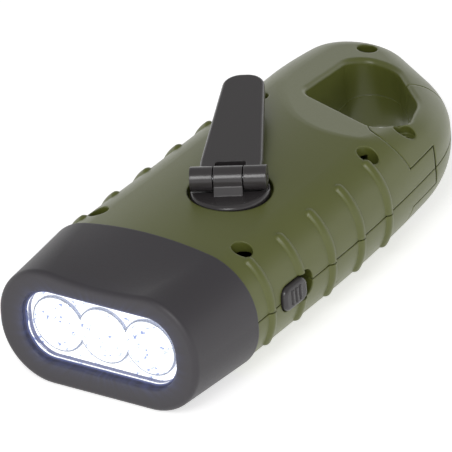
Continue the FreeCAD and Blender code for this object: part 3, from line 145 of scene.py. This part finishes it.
def noise(tree: bpy.types.NodeTree, place: bpy.types.NodeSocket, size_mm: float, detail: float = 2.0,
          roughness: float = 0.5) -> bpy.types.NodeSocket:
    """Add a noise pattern of a real size.

    Args:
        tree: The node tree it goes in.
        place: The place that it follows.
        size_mm: About how wide one of its patches is.
        detail: How many finer layers lie over it.
        roughness: How strong the finer layers are.

    Returns:
        The pattern's value.
    """
    settings = {"Scale": 1.0 / (size_mm * MM), "Detail": detail, "Roughness": roughness}
    return add_node(tree, "ShaderNodeTexNoise", settings, {"Vector": place}).outputs["Fac"]


def ramp(tree: bpy.types.NodeTree, value: bpy.types.NodeSocket, source: Span,
         target: Span) -> bpy.types.NodeSocket:
    """Map a value from one span to another and hold it there.

    Args:
        tree: The node tree it goes in.
        value: What is mapped.
        source: The span it comes from.
        target: The span it goes to.

    Returns:
        The mapped value.
    """
    settings = {"From Min": source[0], "From Max": source[1], "To Min": target[0], "To Max": target[1]}
    return add_node(tree, "ShaderNodeMapRange", settings, {"Value": value}).outputs[0]


def blend(tree: bpy.types.NodeTree, share: bpy.types.NodeSocket,
          first: Union[Colour, bpy.types.NodeSocket], second: Colour) -> bpy.types.NodeSocket:
    """Blend two colours, by the colour sockets of a Mix node (6, 7 and output 2).

    Args:
        tree: The node tree it goes in.
        share: How much of the second colour shows.
        first: The first colour, or the socket that feeds it.
        second: The second colour.

    Returns:
        The blended colour.
    """
    settings = {"data_type": "RGBA", 7: second}
    links = {0: share}
    if isinstance(first, bpy.types.NodeSocket):
        links[6] = first
    else:
        settings[6] = first
    return add_node(tree, "ShaderNodeMix", settings, links).outputs[2]


def seen_share(tree: bpy.types.NodeTree, mirror_share: float) -> bpy.types.NodeSocket:
    """Tell the rays that show the studio itself from those that light the flashlight.

    Args:
        tree: The node tree it goes in.
        mirror_share: How much of the shown level a reflection gets.

    Returns:
        1 in plain view and through clear plastic, the share in a reflection, and 0 otherwise.
    """
    path = add_node(tree, "ShaderNodeLightPath").outputs
    shown = add_node(tree, "ShaderNodeMath", {"operation": "MAXIMUM"},
                     {0: path["Is Camera Ray"], 1: path["Is Transmission Ray"]})
    mirrored = add_node(tree, "ShaderNodeMath", {"operation": "MULTIPLY", 1: mirror_share},
                        {0: path["Is Glossy Ray"]})
    seen = add_node(tree, "ShaderNodeMath", {"operation": "MAXIMUM"},
                    {0: shown.outputs[0], 1: mirrored.outputs[0]})
    return seen.outputs[0]


@dataclass(frozen=True)
class Finish:
    """A surface finish that builds its own material."""

    name: str

    def surface(self, tree: bpy.types.NodeTree) -> bpy.types.Node:
        """Add the nodes up to the shader.

        Args:
            tree: The material's tree.

        Returns:
            The shader node.
        """
        raise NotImplementedError

    def build(self) -> bpy.types.Material:
        """Build the material.

        Returns:
            The new material.
        """
        material = bpy.data.materials.new(self.name)
        material.use_nodes = True
        tree = material.node_tree
        tree.nodes.clear()
        add_node(tree, "ShaderNodeOutputMaterial", links={"Surface": self.surface(tree).outputs[0]})
        return material


@dataclass(frozen=True)
class MouldedPlastic(Finish):
    """Injection moulded plastic: an even colour under a fine spark-eroded grain.

    The grain breaks the highlight into a broad soft sheen, a slow unevenness of the surface
    keeps large faces from looking machined, and a painted highlight makes the edges a little paler.
    """

    colour: str
    roughness: float = 0.42
    # The real grain is about 0.15 mm wide, too fine to show, and is drawn coarser.
    grain_mm: float = 0.5
    grain_detail: float = 3.0
    grain_roughness: float = 0.6
    grain_depth: float = 0.06
    grain_height_mm: float = 0.05
    grain_spread: float = 0.03
    # How wide the slow unevenness is that a moulding keeps from its cooling.
    cloud_mm: float = 22.0
    tint: float = 0.05
    edge_mm: float = 0.45
    edge_samples: int = 6
    # Painted highlight: how much of the paler edge colour shows at a full edge.
    painted_edge_highlight: float = 0.22
    # Cosines between the real and the softened normal: where the painted highlight starts and where it is
    # full.
    edge_bend: Span = (0.995, 0.82)
    edge_highlight_gain: float = 1.9
    edge_highlight_lift: float = 0.02
    ior: float = 1.53

    def colour_with_painted_edge_highlight(self, tree: bpy.types.NodeTree, place: bpy.types.NodeSocket,
                       soft: bpy.types.NodeSocket) -> bpy.types.NodeSocket:
        """Add the slow unevenness of the colour and the painted highlight that makes the edges paler.

        Args:
            tree: The material's tree.
            place: The point's place on the piece.
            soft: The normal that is softened at the edges.

        Returns:
            The colour.
        """
        base = linear(self.colour)
        shade = blend(tree, noise(tree, place, self.cloud_mm), scaled(base, 1.0 - self.tint),
                      scaled(base, 1.0 + self.tint))
        # Painted highlight: where the softened normal bends away from the real one, the colour is painted
        # paler.
        true_normal = add_node(tree, "ShaderNodeNewGeometry").outputs["Normal"]
        bend = add_node(tree, "ShaderNodeVectorMath", {"operation": "DOT_PRODUCT"},
                        {0: soft, 1: true_normal})
        edge = ramp(tree, bend.outputs["Value"], self.edge_bend, (0.0, self.painted_edge_highlight))
        return blend(tree, edge, shade, scaled(base, self.edge_highlight_gain, self.edge_highlight_lift))

    def surface(self, tree: bpy.types.NodeTree) -> bpy.types.Node:
        """Add the nodes up to the shader.

        Args:
            tree: The material's tree.

        Returns:
            The shader node.
        """
        place = object_place(tree)
        grain = noise(tree, place, self.grain_mm, self.grain_detail, self.grain_roughness)
        soft = add_node(tree, "ShaderNodeBevel",
                        {"Radius": self.edge_mm * MM, "samples": self.edge_samples}).outputs[0]
        rough = ramp(tree, grain, NOISE_SPAN,
                     (self.roughness - self.grain_spread, self.roughness + self.grain_spread))
        bump = add_node(tree, "ShaderNodeBump",
                        {"Strength": self.grain_depth, "Distance": self.grain_height_mm * MM},
                        {"Height": grain, "Normal": soft})
        return add_node(tree, "ShaderNodeBsdfPrincipled", {"IOR": self.ior, "Metallic": 0.0},
                        {"Base Color": self.colour_with_painted_edge_highlight(tree, place, soft), "Roughness": rough,
                         "Normal": bump.outputs[0]})


@dataclass(frozen=True)
class LampLitPlastic(MouldedPlastic):
    """Moulded plastic round the lit window, with the lamps' light spilling over its rim.

    A cold glow is painted on the face next to the rim as emission, strongest at the edge and gone
    within a few millimetres, with faint painted rays.
    """

    # Colour of the painted glow.
    spill: str = "#8FA4FF"
    strength: float = 0.13
    # The light falls to about a third over this length.
    spill_mm: float = 1.1
    # Inside the window's outline it rises no further than this many of those lengths.
    spill_cap: float = 0.6
    window_corner_mm: float = 7.0
    # The painted glow is even on the rim's wall, and the painted rays only show on the face outside this
    # many lengths.
    wall_step: float = -0.25
    wall_level: float = 1.9
    wall_depth_mm: float = 2.8
    # The pattern's scale over a full turn, its fineness, the part of it used and the levels it gives.
    ray_scale: float = 70.0
    ray_detail: float = 1.0
    ray_span: Span = (0.35, 0.75)
    ray_levels: Span = (0.55, 1.35)

    def lengths_inside(self, tree: bpy.types.NodeTree, flat: bpy.types.NodeSocket,
                       half: Vector) -> bpy.types.NodeSocket:
        """Measure how far inside the window's rounded outline a point is.

        Args:
            tree: The material's tree.
            flat: The point's offset from the window's middle, across the window.
            half: Half the window's size.

        Returns:
            The distance in spill lengths, below zero outside.
        """
        corner = self.window_corner_mm * MM
        length = self.spill_mm * MM
        folded = add_node(tree, "ShaderNodeVectorMath", {"operation": "ABSOLUTE"}, {0: flat})
        outside = add_node(tree, "ShaderNodeVectorMath",
                           {"operation": "SUBTRACT", 1: (half.x - corner, 0.0, half.z - corner)},
                           {0: folded.outputs[0]})
        clipped = add_node(tree, "ShaderNodeVectorMath", {"operation": "MAXIMUM", 1: (0.0, 0.0, 0.0)},
                           {0: outside.outputs[0]})
        reach = add_node(tree, "ShaderNodeVectorMath", {"operation": "LENGTH"}, {0: clipped.outputs[0]})
        return add_node(tree, "ShaderNodeMath",
                        {"operation": "MULTIPLY_ADD", 1: -1.0 / length, 2: corner / length},
                        {0: reach.outputs["Value"]}).outputs[0]

    def rays(self, tree: bpy.types.NodeTree, flat: bpy.types.NodeSocket) -> bpy.types.NodeSocket:
        """Add the faint painted rays of glow about the window's middle.

        Args:
            tree: The material's tree.
            flat: The point's offset from the window's middle, across the window.

        Returns:
            What the rays multiply the light by.
        """
        turned = add_node(tree, "ShaderNodeMapping", {"Rotation": (math.pi / 2.0, 0.0, 0.0)},
                          {"Vector": flat})
        angle = add_node(tree, "ShaderNodeTexGradient", {"gradient_type": "RADIAL"},
                         {"Vector": turned.outputs[0]})
        streaks = add_node(tree, "ShaderNodeTexNoise",
                           {"noise_dimensions": "1D", "Scale": self.ray_scale, "Detail": self.ray_detail},
                           {"W": angle.outputs["Fac"]})
        return ramp(tree, streaks.outputs["Fac"], self.ray_span, self.ray_levels)

    def surface(self, tree: bpy.types.NodeTree) -> bpy.types.Node:
        """Add the plastic's nodes, and the painted glow of spilt light, from the window's own place and
        size.

        Args:
            tree: The material's tree.

        Returns:
            The shader node.
        """
        shader = super().surface(tree)
        low, _, middle, half = spans(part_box("lens"))
        place = object_place(tree)
        offset = add_node(tree, "ShaderNodeVectorMath", {"operation": "SUBTRACT", 1: middle}, {0: place})
        flat = add_node(tree, "ShaderNodeVectorMath", {"operation": "MULTIPLY", 1: (1.0, 0.0, 1.0)},
                        {0: offset.outputs[0]}).outputs[0]
        inside = self.lengths_inside(tree, flat, half)
        near = add_node(tree, "ShaderNodeMath", {"operation": "MINIMUM", 1: self.spill_cap}, {0: inside})
        fade = add_node(tree, "ShaderNodeMath", {"operation": "EXPONENT"}, {0: near.outputs[0]})
        outer = add_node(tree, "ShaderNodeMath", {"operation": "LESS_THAN", 1: self.wall_step}, {0: inside})
        painted_glow_rays = add_node(tree, "ShaderNodeMix", {"data_type": "FLOAT", 2: self.wall_level},
                          {0: outer.outputs[0], 3: self.rays(tree, flat)})
        rayed = add_node(tree, "ShaderNodeMath", {"operation": "MULTIPLY"},
                         {0: fade.outputs[0], 1: painted_glow_rays.outputs[0]})
        depth = add_node(tree, "ShaderNodeSeparateXYZ", links={"Vector": place}).outputs["Y"]
        front = add_node(tree, "ShaderNodeMath",
                         {"operation": "LESS_THAN", 1: low.y + self.wall_depth_mm * MM}, {0: depth})
        level = add_node(tree, "ShaderNodeMath", {"operation": "MULTIPLY"},
                         {0: rayed.outputs[0], 1: front.outputs[0]})
        power = add_node(tree, "ShaderNodeMath", {"operation": "MULTIPLY", 1: self.strength},
                         {0: level.outputs[0]})
        # Painted light: the face round the window glows as emission, though it is no lamp.
        shader.inputs["Emission Color"].default_value = linear(self.spill)
        tree.links.new(power.outputs[0], shader.inputs["Emission Strength"])
        return shader


@dataclass(frozen=True)
class Steel(Finish):
    """Zinc plated steel: bright, with fine turning marks that stretch the highlight."""

    name: str = "zinc_plated_steel"
    colour: str = "#B9BABD"
    roughness: float = 0.4
    # Real turning marks are about 0.1 mm wide, too fine to show, and are drawn coarser.
    marks_mm: float = 0.4
    # How far the marks take the roughness down and up.
    smoother: float = 0.06
    rougher: float = 0.08

    def surface(self, tree: bpy.types.NodeTree) -> bpy.types.Node:
        """Add the nodes up to the shader.

        Args:
            tree: The material's tree.

        Returns:
            The shader node.
        """
        marks = noise(tree, object_place(tree), self.marks_mm)
        rough = ramp(tree, marks, UNIT, (self.roughness - self.smoother, self.roughness + self.rougher))
        return add_node(tree, "ShaderNodeBsdfPrincipled",
                        {"Base Color": linear(self.colour), "Metallic": 1.0}, {"Roughness": rough})


@dataclass(frozen=True)
class Glow(Finish):
    """Emission for a lit lamp, or painted glare on metallised plastic flooded by one: white, with cold blue
    facets.

    Facets painted a shade bluer, as a painted reflection of light thrown elsewhere, speckle the white.
    """

    core: str = "#FFFFFF"
    facet: str = "#A9BEFF"
    # About as wide as the facets moulded in the cups.
    facet_mm: float = 1.7
    facet_roughness: float = 0.7
    strength: float = 1.6
    facet_strength: float = 0.75
    share: float = 0.31
    softness: float = 0.12

    def surface(self, tree: bpy.types.NodeTree) -> bpy.types.Node:
        """Add the nodes up to the shader.

        Args:
            tree: The material's tree.

        Returns:
            The shader node.
        """
        cells = noise(tree, object_place(tree), self.facet_mm, roughness=self.facet_roughness)
        mask = ramp(tree, cells, (self.share + self.softness, self.share), UNIT)
        colour = blend(tree, mask, linear(self.core), linear(self.facet))
        level = ramp(tree, mask, UNIT, (self.strength, self.facet_strength))
        return add_node(tree, "ShaderNodeEmission", links={"Color": colour, "Strength": level})


@dataclass(frozen=True)
class ClearPlastic(Finish):
    """Moulded polycarbonate, clear and polished: it shows by its edges and reflections.

    The melt's slow waves bend what is seen in it a little.
    """

    name: str = "clear_polycarbonate"
    colour: str = "#FBFDFF"
    roughness: float = 0.03
    wave_mm: float = 9.0
    wave_depth: float = 0.03
    wave_height_mm: float = 0.1
    ior: float = 1.58

    def surface(self, tree: bpy.types.NodeTree) -> bpy.types.Node:
        """Add the nodes up to the shader.

        Args:
            tree: The material's tree.

        Returns:
            The shader node.
        """
        bump = add_node(tree, "ShaderNodeBump",
                        {"Strength": self.wave_depth, "Distance": self.wave_height_mm * MM},
                        {"Height": noise(tree, object_place(tree), self.wave_mm)})
        return add_node(tree, "ShaderNodeBsdfPrincipled",
                        {"Base Color": linear(self.colour), "Roughness": self.roughness, "IOR": self.ior,
                         "Transmission Weight": 1.0}, {"Normal": bump.outputs[0]})


@dataclass(frozen=True)
class Banded(Finish):
    """Metal in fine parallel bands, such as a wire winding or a stack of punched sheets.

    Each band has its own round or groove, so the highlight breaks into thin lines.
    """

    colour: str
    band_mm: float
    roughness: float = 0.35
    depth: float = 0.6
    height_mm: float = 0.1
    # How dark each band's groove is painted, as a share of the base: painted shade between the turns of a
    # winding, and the sheets' own dark joints.
    groove: float = 0.45
    waver: float = 0.4

    def surface(self, tree: bpy.types.NodeTree) -> bpy.types.Node:
        """Add the nodes up to the shader.

        Args:
            tree: The material's tree.

        Returns:
            The shader node.
        """
        base = linear(self.colour)
        bands = add_node(tree, "ShaderNodeTexWave",
                         {"bands_direction": "Z", "Distortion": self.waver,
                          "Scale": WAVE_LENGTH / (self.band_mm * MM)},
                         {"Vector": object_place(tree)}).outputs["Fac"]
        shade = blend(tree, bands, scaled(base, self.groove), base)
        bump = add_node(tree, "ShaderNodeBump", {"Strength": self.depth, "Distance": self.height_mm * MM},
                        {"Height": bands})
        return add_node(tree, "ShaderNodeBsdfPrincipled", {"Metallic": 1.0, "Roughness": self.roughness},
                        {"Base Color": shade, "Normal": bump.outputs[0]})


@dataclass(frozen=True)
class TableTop(Finish):
    """White laminate in a light tent: near white in view, with only a faint contact shadow."""

    name: str = "white_table"
    grey: float = 0.8
    glow: float = 0.62
    bounce: float = 0.3
    mirror_share: float = 1.0

    def surface(self, tree: bpy.types.NodeTree) -> bpy.types.Node:
        """Add the nodes up to the shader.

        Args:
            tree: The material's tree.

        Returns:
            The shader node.
        """
        lift = ramp(tree, seen_share(tree, self.mirror_share), UNIT, (self.bounce, self.glow))
        glow = add_node(tree, "ShaderNodeEmission", {"Color": WHITE}, {"Strength": lift})
        paint = add_node(tree, "ShaderNodeBsdfDiffuse", {"Color": scaled(WHITE, self.grey)})
        return add_node(tree, "ShaderNodeAddShader", links={0: glow.outputs[0], 1: paint.outputs[0]})


@dataclass(frozen=True)
class SoftBox:
    """A square soft box: its place and side in metres and its power in watts."""

    name: str
    place: tuple[float, float, float]
    side: float
    power: float


@dataclass
class Studio:
    """The white studio: floor, world, soft lamp and the camera at the photograph's angle."""

    azimuth: float = math.radians(36.99)
    elevation: float = math.radians(28.80)
    roll: float = math.radians(5.72)
    distance_mm: float = 2094.34
    target_mm: tuple[float, float, float] = (-2.133, 0.530, 15.582)
    focal_px: float = 9404.16
    frame_px: float = 452.0
    sensor_mm: float = 36.0
    # Far clipping in metres, past the table's far edge.
    view_depth: float = 20.0
    # The tent's light at the horizon and overhead, and the sines of the heights where it falls.
    horizon: float = 1.35
    zenith: float = 0.32
    fall: Span = (0.14, 0.5)
    mirror_share: float = 0.2
    table: TableTop = TableTop()
    # Half the table's side in metres.
    table_half: float = 3.0
    # Just below the flashlight's resting face, so that the two faces never fight.
    table_drop_mm: float = 0.02
    key: SoftBox = SoftBox("key_softbox", place=(0.3, -0.75, 0.75), side=0.45, power=4.2)

    def target(self) -> Vector:
        """Return the point that the camera and the lamp look at, in metres."""
        return Vector(self.target_mm) * MM

    def camera(self) -> None:
        """Set the camera from its angle, roll and distance."""
        back = Vector((math.sin(self.azimuth) * math.cos(self.elevation),
                       -math.cos(self.azimuth) * math.cos(self.elevation), math.sin(self.elevation)))
        right = Vector((math.cos(self.azimuth), math.sin(self.azimuth), 0.0))
        up = back.cross(right)
        turned_right = right * math.cos(self.roll) - up * math.sin(self.roll)
        turned_up = right * math.sin(self.roll) + up * math.cos(self.roll)
        data = bpy.data.cameras.new("studio_camera")
        data.sensor_width = self.sensor_mm
        data.lens = self.focal_px / self.frame_px * self.sensor_mm
        data.clip_end = self.view_depth
        camera = bpy.data.objects.new("studio_camera", data)
        place = self.target() + back * (self.distance_mm * MM)
        camera.matrix_world = Matrix((
            (turned_right.x, turned_up.x, back.x, place.x),
            (turned_right.y, turned_up.y, back.y, place.y),
            (turned_right.z, turned_up.z, back.z, place.z),
            (0.0, 0.0, 0.0, 1.0),
        ))
        bpy.context.scene.collection.objects.link(camera)
        bpy.context.scene.camera = camera

    def lamp(self, box: SoftBox) -> None:
        """Add one soft box aimed at the flashlight.

        Args:
            box: The soft box.
        """
        data = bpy.data.lights.new(box.name, "AREA")
        data.shape = "SQUARE"
        data.size = box.side
        data.energy = box.power
        lamp = bpy.data.objects.new(box.name, data)
        lamp.location = box.place
        lamp.rotation_euler = (self.target() - Vector(box.place)).to_track_quat("-Z", "Y").to_euler()
        bpy.context.scene.collection.objects.link(lamp)

    def world(self) -> None:
        """Light softly, more from the horizon than from above, and show white behind the object."""
        world = bpy.data.worlds.new("studio_world")
        world.use_nodes = True
        tree = world.node_tree
        tree.nodes.clear()
        toward = add_node(tree, "ShaderNodeTexCoord").outputs["Generated"]
        height = add_node(tree, "ShaderNodeSeparateXYZ", links={"Vector": toward}).outputs["Z"]
        tent = ramp(tree, height, self.fall, (self.horizon, self.zenith))
        # Gloss shows the white background near the horizon and the tent's dimmer top overhead.
        level = add_node(tree, "ShaderNodeMix", {"data_type": "FLOAT", 3: 1.0},
                         {0: seen_share(tree, self.mirror_share), 2: tent})
        light = add_node(tree, "ShaderNodeBackground", {"Color": WHITE}, {"Strength": level.outputs[0]})
        add_node(tree, "ShaderNodeOutputWorld", links={"Surface": light.outputs[0]})
        bpy.context.scene.world = world

    def floor(self) -> None:
        """Lay a white table that keeps a faint shadow under the flashlight."""
        mesh = bpy.data.meshes.new("table_top")
        half = self.table_half
        mesh.from_pydata([(-half, -half, 0.0), (half, -half, 0.0), (half, half, 0.0), (-half, half, 0.0)],
                         [], [(0, 1, 2, 3)])
        mesh.materials.append(self.table.build())
        floor = bpy.data.objects.new("table_top", mesh)
        floor.location.z = -self.table_drop_mm * MM
        bpy.context.scene.collection.objects.link(floor)

    def build(self) -> None:
        """Build the whole studio."""
        self.camera()
        self.world()
        self.floor()
        self.lamp(self.key)
        LOG.info("studio built")


def dress(names: tuple[str, ...], material: bpy.types.Material) -> None:
    """Give several CAD nodes one material and report each.

    Args:
        names: The CAD nodes' names.
        material: What they are made of.
    """
    for name in names:
        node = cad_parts[name]
        node.data.materials.clear()
        node.data.materials.append(material)
        LOG.info("dressed %s in %s", name, material.name)


@dataclass
class Housing:
    """The green shells, the gate and what holds them together."""

    # Olive ABS from a lightly etched tool: satin, so long soft highlights run along the shells; its edges
    # are painted paler as a highlight.
    green: MouldedPlastic = MouldedPlastic("olive_abs", "#5A5F2A", roughness=0.34, edge_mm=0.6,
                                           painted_edge_highlight=0.34)
    steel: Steel = Steel()

    def build(self) -> None:
        """Dress the shells and every screw, pin, rivet and axle."""
        dress(("upper_shell", "lower_shell", "gate_upper", "gate_lower"), self.green.build())
        dress(("shell_screws", "gate_pin", "crank_screw", "hinge_pin", "knob_rivet", "idler_axle",
               "rotor_axle"), self.steel.build())


@dataclass
class Head:
    """The charcoal cap with its window, lens, reflector and lit lamps."""

    # Charcoal ABS from a coarser spark-eroded tool: matt, so its sides differ by shade, not by gloss; near
    # the window it carries a painted glow.
    charcoal: LampLitPlastic = LampLitPlastic("charcoal_abs", "#343135", roughness=0.48)
    # Styrene under vapour-deposited aluminium, flooded by the lamps: painted glare that glows as emission
    # rather than a mirror.
    flood: Glow = Glow("metallised_abs_painted_glare")
    # Cast epoxy round a lit chip: the brightest thing in view, burnt out to white.
    core: Glow = Glow("led_epoxy", strength=4.0, facet_strength=3.0)
    # The collars' bare moulded ABS, its white painted a cold grey as shade, dimmer than the glare: a cold
    # grey line round each cup.
    rim: MouldedPlastic = MouldedPlastic("white_abs", "#B9C2DC", roughness=0.4)
    lens: ClearPlastic = ClearPlastic()
    block_corner_mm: float = 8.3
    step_mm: float = 1.8
    neck_inset_x_mm: float = 2.45
    neck_inset_z_mm: float = 2.65
    neck_corner_mm: float = 6.8
    collar_mm: float = 0.8
    rim_mm: float = 0.4
    rim_bevel_mm: float = 0.12
    pitch_mm: float = 12.2
    cup_mm: float = 6.45
    lamp_mm: float = 2.8
    floor_mm: float = 2.6
    # A cutting solid reaches past the block by this much at both ends.
    overrun_mm: float = 1.0
    bowl_steps: int = 10
    facets: int = 72
    # What counts as the rims' front: this deep, and turned to the front by this cosine.
    rim_depth_mm: float = 0.3
    rim_turn: float = 0.3
    wall_margin_mm: float = 0.2

    def rounded_plan(self, half_x: float, half_z: float, corner: float) -> Plan:
        """Return a rounded rectangle about the lamps' middle as x and z pairs.

        Args:
            half_x: Half its width.
            half_z: Half its height.
            corner: Its corner radius.

        Returns:
            The outline's points in order.
        """
        points = []
        quarter = self.facets // 4
        for quadrant, (sx, sz) in enumerate(((1, 1), (-1, 1), (-1, -1), (1, -1))):
            for k in range(quarter + 1):
                turn = (quadrant + k / quarter) * math.pi / 2.0
                points.append((sx * (half_x - corner) + corner * math.cos(turn),
                               sz * (half_z - corner) + corner * math.sin(turn)))
        return points

    def circle(self, radius_mm: float) -> Plan:
        """Return a circle about the origin as x and z pairs in metres."""
        turns = [k * math.tau / self.facets for k in range(self.facets)]
        return [(radius_mm * MM * math.cos(turn), radius_mm * MM * math.sin(turn)) for turn in turns]

    def tube(self, name: str, rings: list[tuple[float, Plan]], middle: Vector) -> bpy.types.Object:
        """Return a closed solid through outlines set at several depths.

        Args:
            name: The object's name.
            rings: Depth in y and outline of each section, all with the same count.
            middle: What the outlines are drawn about.

        Returns:
            The new object, not yet in the scene.
        """
        mesh = bmesh.new()
        loops = [[mesh.verts.new((middle.x + x, y, middle.z + z)) for x, z in plan] for y, plan in rings]
        for first, second in zip(loops, loops[1:]):
            for k, vert in enumerate(first):
                after = (k + 1) % len(first)
                mesh.faces.new((vert, first[after], second[after], second[k]))
        mesh.faces.new(loops[0])
        mesh.faces.new(loops[-1])
        bmesh.ops.recalc_face_normals(mesh, faces=mesh.faces)
        data = bpy.data.meshes.new(name)
        mesh.to_mesh(data)
        mesh.free()
        return bpy.data.objects.new(name, data)

    def joined(self, base: bpy.types.Object, tool: bpy.types.Object, change: Change) -> None:
        """Add or take away one solid and delete the tool.

        Args:
            base: The solid that is changed.
            tool: The solid that is added or taken away.
            change: Which of the two.
        """
        bpy.context.scene.collection.objects.link(tool)
        modifier = base.modifiers.new(tool.name, "BOOLEAN")
        modifier.operation = change.value
        modifier.solver = "EXACT"
        modifier.object = tool
        shape = bpy.data.meshes.new_from_object(base.evaluated_get(bpy.context.evaluated_depsgraph_get()))
        base.modifiers.clear()
        base.data = shape
        bpy.data.objects.remove(tool)

    def block(self, box: Sequence[Sequence[float]]) -> bpy.types.Object:
        """Build the stepped block that the cups are sunk in, and put it in the scene.

        Args:
            box: The low and high corners of the reflector's box.

        Returns:
            The block.
        """
        low, high, middle, half = spans(box)
        front = low.y + self.collar_mm * MM
        step = low.y + self.step_mm * MM
        wide = self.rounded_plan(half.x, half.z, self.block_corner_mm * MM)
        neck = self.rounded_plan(half.x - self.neck_inset_x_mm * MM, half.z - self.neck_inset_z_mm * MM,
                                 self.neck_corner_mm * MM)
        rings = [(high.y, wide), (step, wide), (step, neck), (front, neck)]
        piece = self.tube("lamp_reflector", rings, middle)
        bpy.context.scene.collection.objects.link(piece)
        return piece

    def collar(self, name: str, low: Vector, place: Vector) -> bpy.types.Object:
        """Return the raised collar round one cup, with a bevelled front.

        Args:
            name: The object's name.
            low: The low corner of the reflector's box.
            place: The cup's middle.

        Returns:
            The collar, not yet in the scene.
        """
        outer = self.circle(self.cup_mm + self.rim_mm)
        lip = self.circle(self.cup_mm + self.rim_mm - self.rim_bevel_mm)
        rings = [(low.y + self.step_mm * MM, outer), (low.y + self.rim_bevel_mm * MM, outer), (low.y, lip)]
        return self.tube(name, rings, place)

    def bowl(self, name: str, low: Vector, high: Vector, place: Vector) -> bpy.types.Object:
        """Return the hollow of one cup: a parabola that ends in the lamp's bore.

        Args:
            name: The object's name.
            low: The low corner of the reflector's box.
            high: Its high corner.
            place: The cup's middle.

        Returns:
            The hollow as a solid, not yet in the scene.
        """
        depth = high.y - low.y - self.floor_mm * MM
        rings = [(low.y - self.overrun_mm * MM, self.circle(self.cup_mm))]
        for n in range(self.bowl_steps + 1):
            share = n / self.bowl_steps
            radius = self.lamp_mm + (self.cup_mm - self.lamp_mm) * math.sqrt(1.0 - share)
            rings.append((low.y + depth * share, self.circle(radius)))
        rings.append((high.y + self.overrun_mm * MM, self.circle(self.lamp_mm)))
        return self.tube(name, rings, place)

    def coat(self, piece: bpy.types.Object, low: Vector, places: list[Vector]) -> None:
        """Metallise the reflector and leave the collars' fronts and outer walls bare.

        Args:
            piece: The reflector.
            low: The low corner of its box.
            places: The cups' middles.
        """
        piece.data.materials.clear()
        for finish in (self.flood, self.rim):
            piece.data.materials.append(finish.build())
        lip_end = low.y + self.rim_depth_mm * MM
        collar_end = low.y + self.collar_mm * MM
        wall_radius = (self.cup_mm + self.wall_margin_mm) * MM
        for face in piece.data.polygons:
            face.use_smooth = False
            spot = face.center
            turn = abs(face.normal.y)
            outside = all(math.hypot(spot.x - place.x, spot.z - place.z) > wall_radius for place in places)
            on_rim = spot.y < lip_end and turn > self.rim_turn
            outer_wall = spot.y < collar_end and turn < self.rim_turn and outside
            face.material_index = 1 if on_rim or outer_wall else 0

    def reflector(self) -> bpy.types.Object:
        """Build the reflector: a stepped block, three raised collars and three hollow cups.

        Returns:
            The reflector.
        """
        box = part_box("reflector")
        low, high, middle, _ = spans(box)
        piece = self.block(box)
        places = [middle + Vector((k * self.pitch_mm * MM, 0.0, 0.0)) for k in (-1, 0, 1)]
        for k, place in enumerate(places):
            self.joined(piece, self.collar(f"collar_{k}", low, place), Change.ADD)
        for k, place in enumerate(places):
            self.joined(piece, self.bowl(f"cup_{k}", low, high, place), Change.CUT)
        self.coat(piece, low, places)
        return piece

    def build(self) -> None:
        """Dress the cap, set the reflector and light the lamps."""
        dress(("head_cap",), self.charcoal.build())
        dress(("leds",), self.core.build())
        dress(("lens",), self.lens.build())
        piece = self.reflector()
        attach(piece, "housing")
        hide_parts("reflector")
        LOG.info("built %s", piece.name)


@dataclass
class Crank:
    """The folding crank with its disc, lever and knob, and the slide button of the same ABS."""

    # Black ABS from a polished tool: glossier than the cap, with a painted highlight as a thin pale line
    # along each edge.
    black: MouldedPlastic = MouldedPlastic("black_abs", "#353233", roughness=0.24, edge_mm=0.35,
                                           painted_edge_highlight=0.4)

    def build(self) -> None:
        """Dress the crank's mouldings."""
        dress(("crank_disc", "crank_lever", "crank_knob", "slide_button"), self.black.build())


@dataclass
class Inside:
    """What is sealed inside: gears, boards, battery and generator."""

    # Nylon as moulded, without pigment: milky, with a waxy sheen on the teeth.
    nylon: MouldedPlastic = MouldedPlastic("natural_nylon", "#D8D3C4", roughness=0.35)
    # Lacquer cured over copper: deep green and smooth, with a clear highlight.
    board: MouldedPlastic = MouldedPlastic("solder_mask", "#1E5A38", roughness=0.3)
    # Sleeve shrunk on with hot air: tight and glossy, with soft ends.
    sleeve: MouldedPlastic = MouldedPlastic("shrink_sleeve", "#27447A", roughness=0.25)
    # Black ABS as moulded, never handled: a plain dark satin.
    dark: MouldedPlastic = MouldedPlastic("dark_abs", "#242424", roughness=0.45)
    # Pressed and sintered powder, ground dry: dull grey with hardly any highlight.
    ferrite: MouldedPlastic = MouldedPlastic("sintered_ferrite", "#3A3A3D", roughness=0.6)
    # Enamelled wire laid turn by turn: warm, with a bright line along each turn.
    winding: Banded = Banded("enamelled_copper_wire", "#C0703A", band_mm=0.3)
    # Punched sheets under varnish: grey, with a dark line at each joint.
    stack: Banded = Banded("varnished_sheet_steel", "#77777B", band_mm=0.5, roughness=0.5)

    def build(self) -> None:
        """Dress the inner pieces."""
        dress(("crank_gear", "idler_gear", "rotor_pinion"), self.nylon.build())
        dress(("main_board", "led_board"), self.board.build())
        dress(("battery",), self.sleeve.build())
        dress(("switch_body", "gear_plate"), self.dark.build())
        dress(("rotor_magnet",), self.ferrite.build())
        dress(("stator_coil",), self.winding.build())
        dress(("stator_core",), self.stack.build())


def main() -> None:
    """Build every group in order."""
    logging.basicConfig(level=logging.INFO, format="%(name)s: %(message)s")
    bpy.context.scene.view_settings.view_transform = "Standard"
    for group in (Studio(), Housing(), Head(), Crank(), Inside()):
        group.build()


if __name__ == "__main__":
    main()
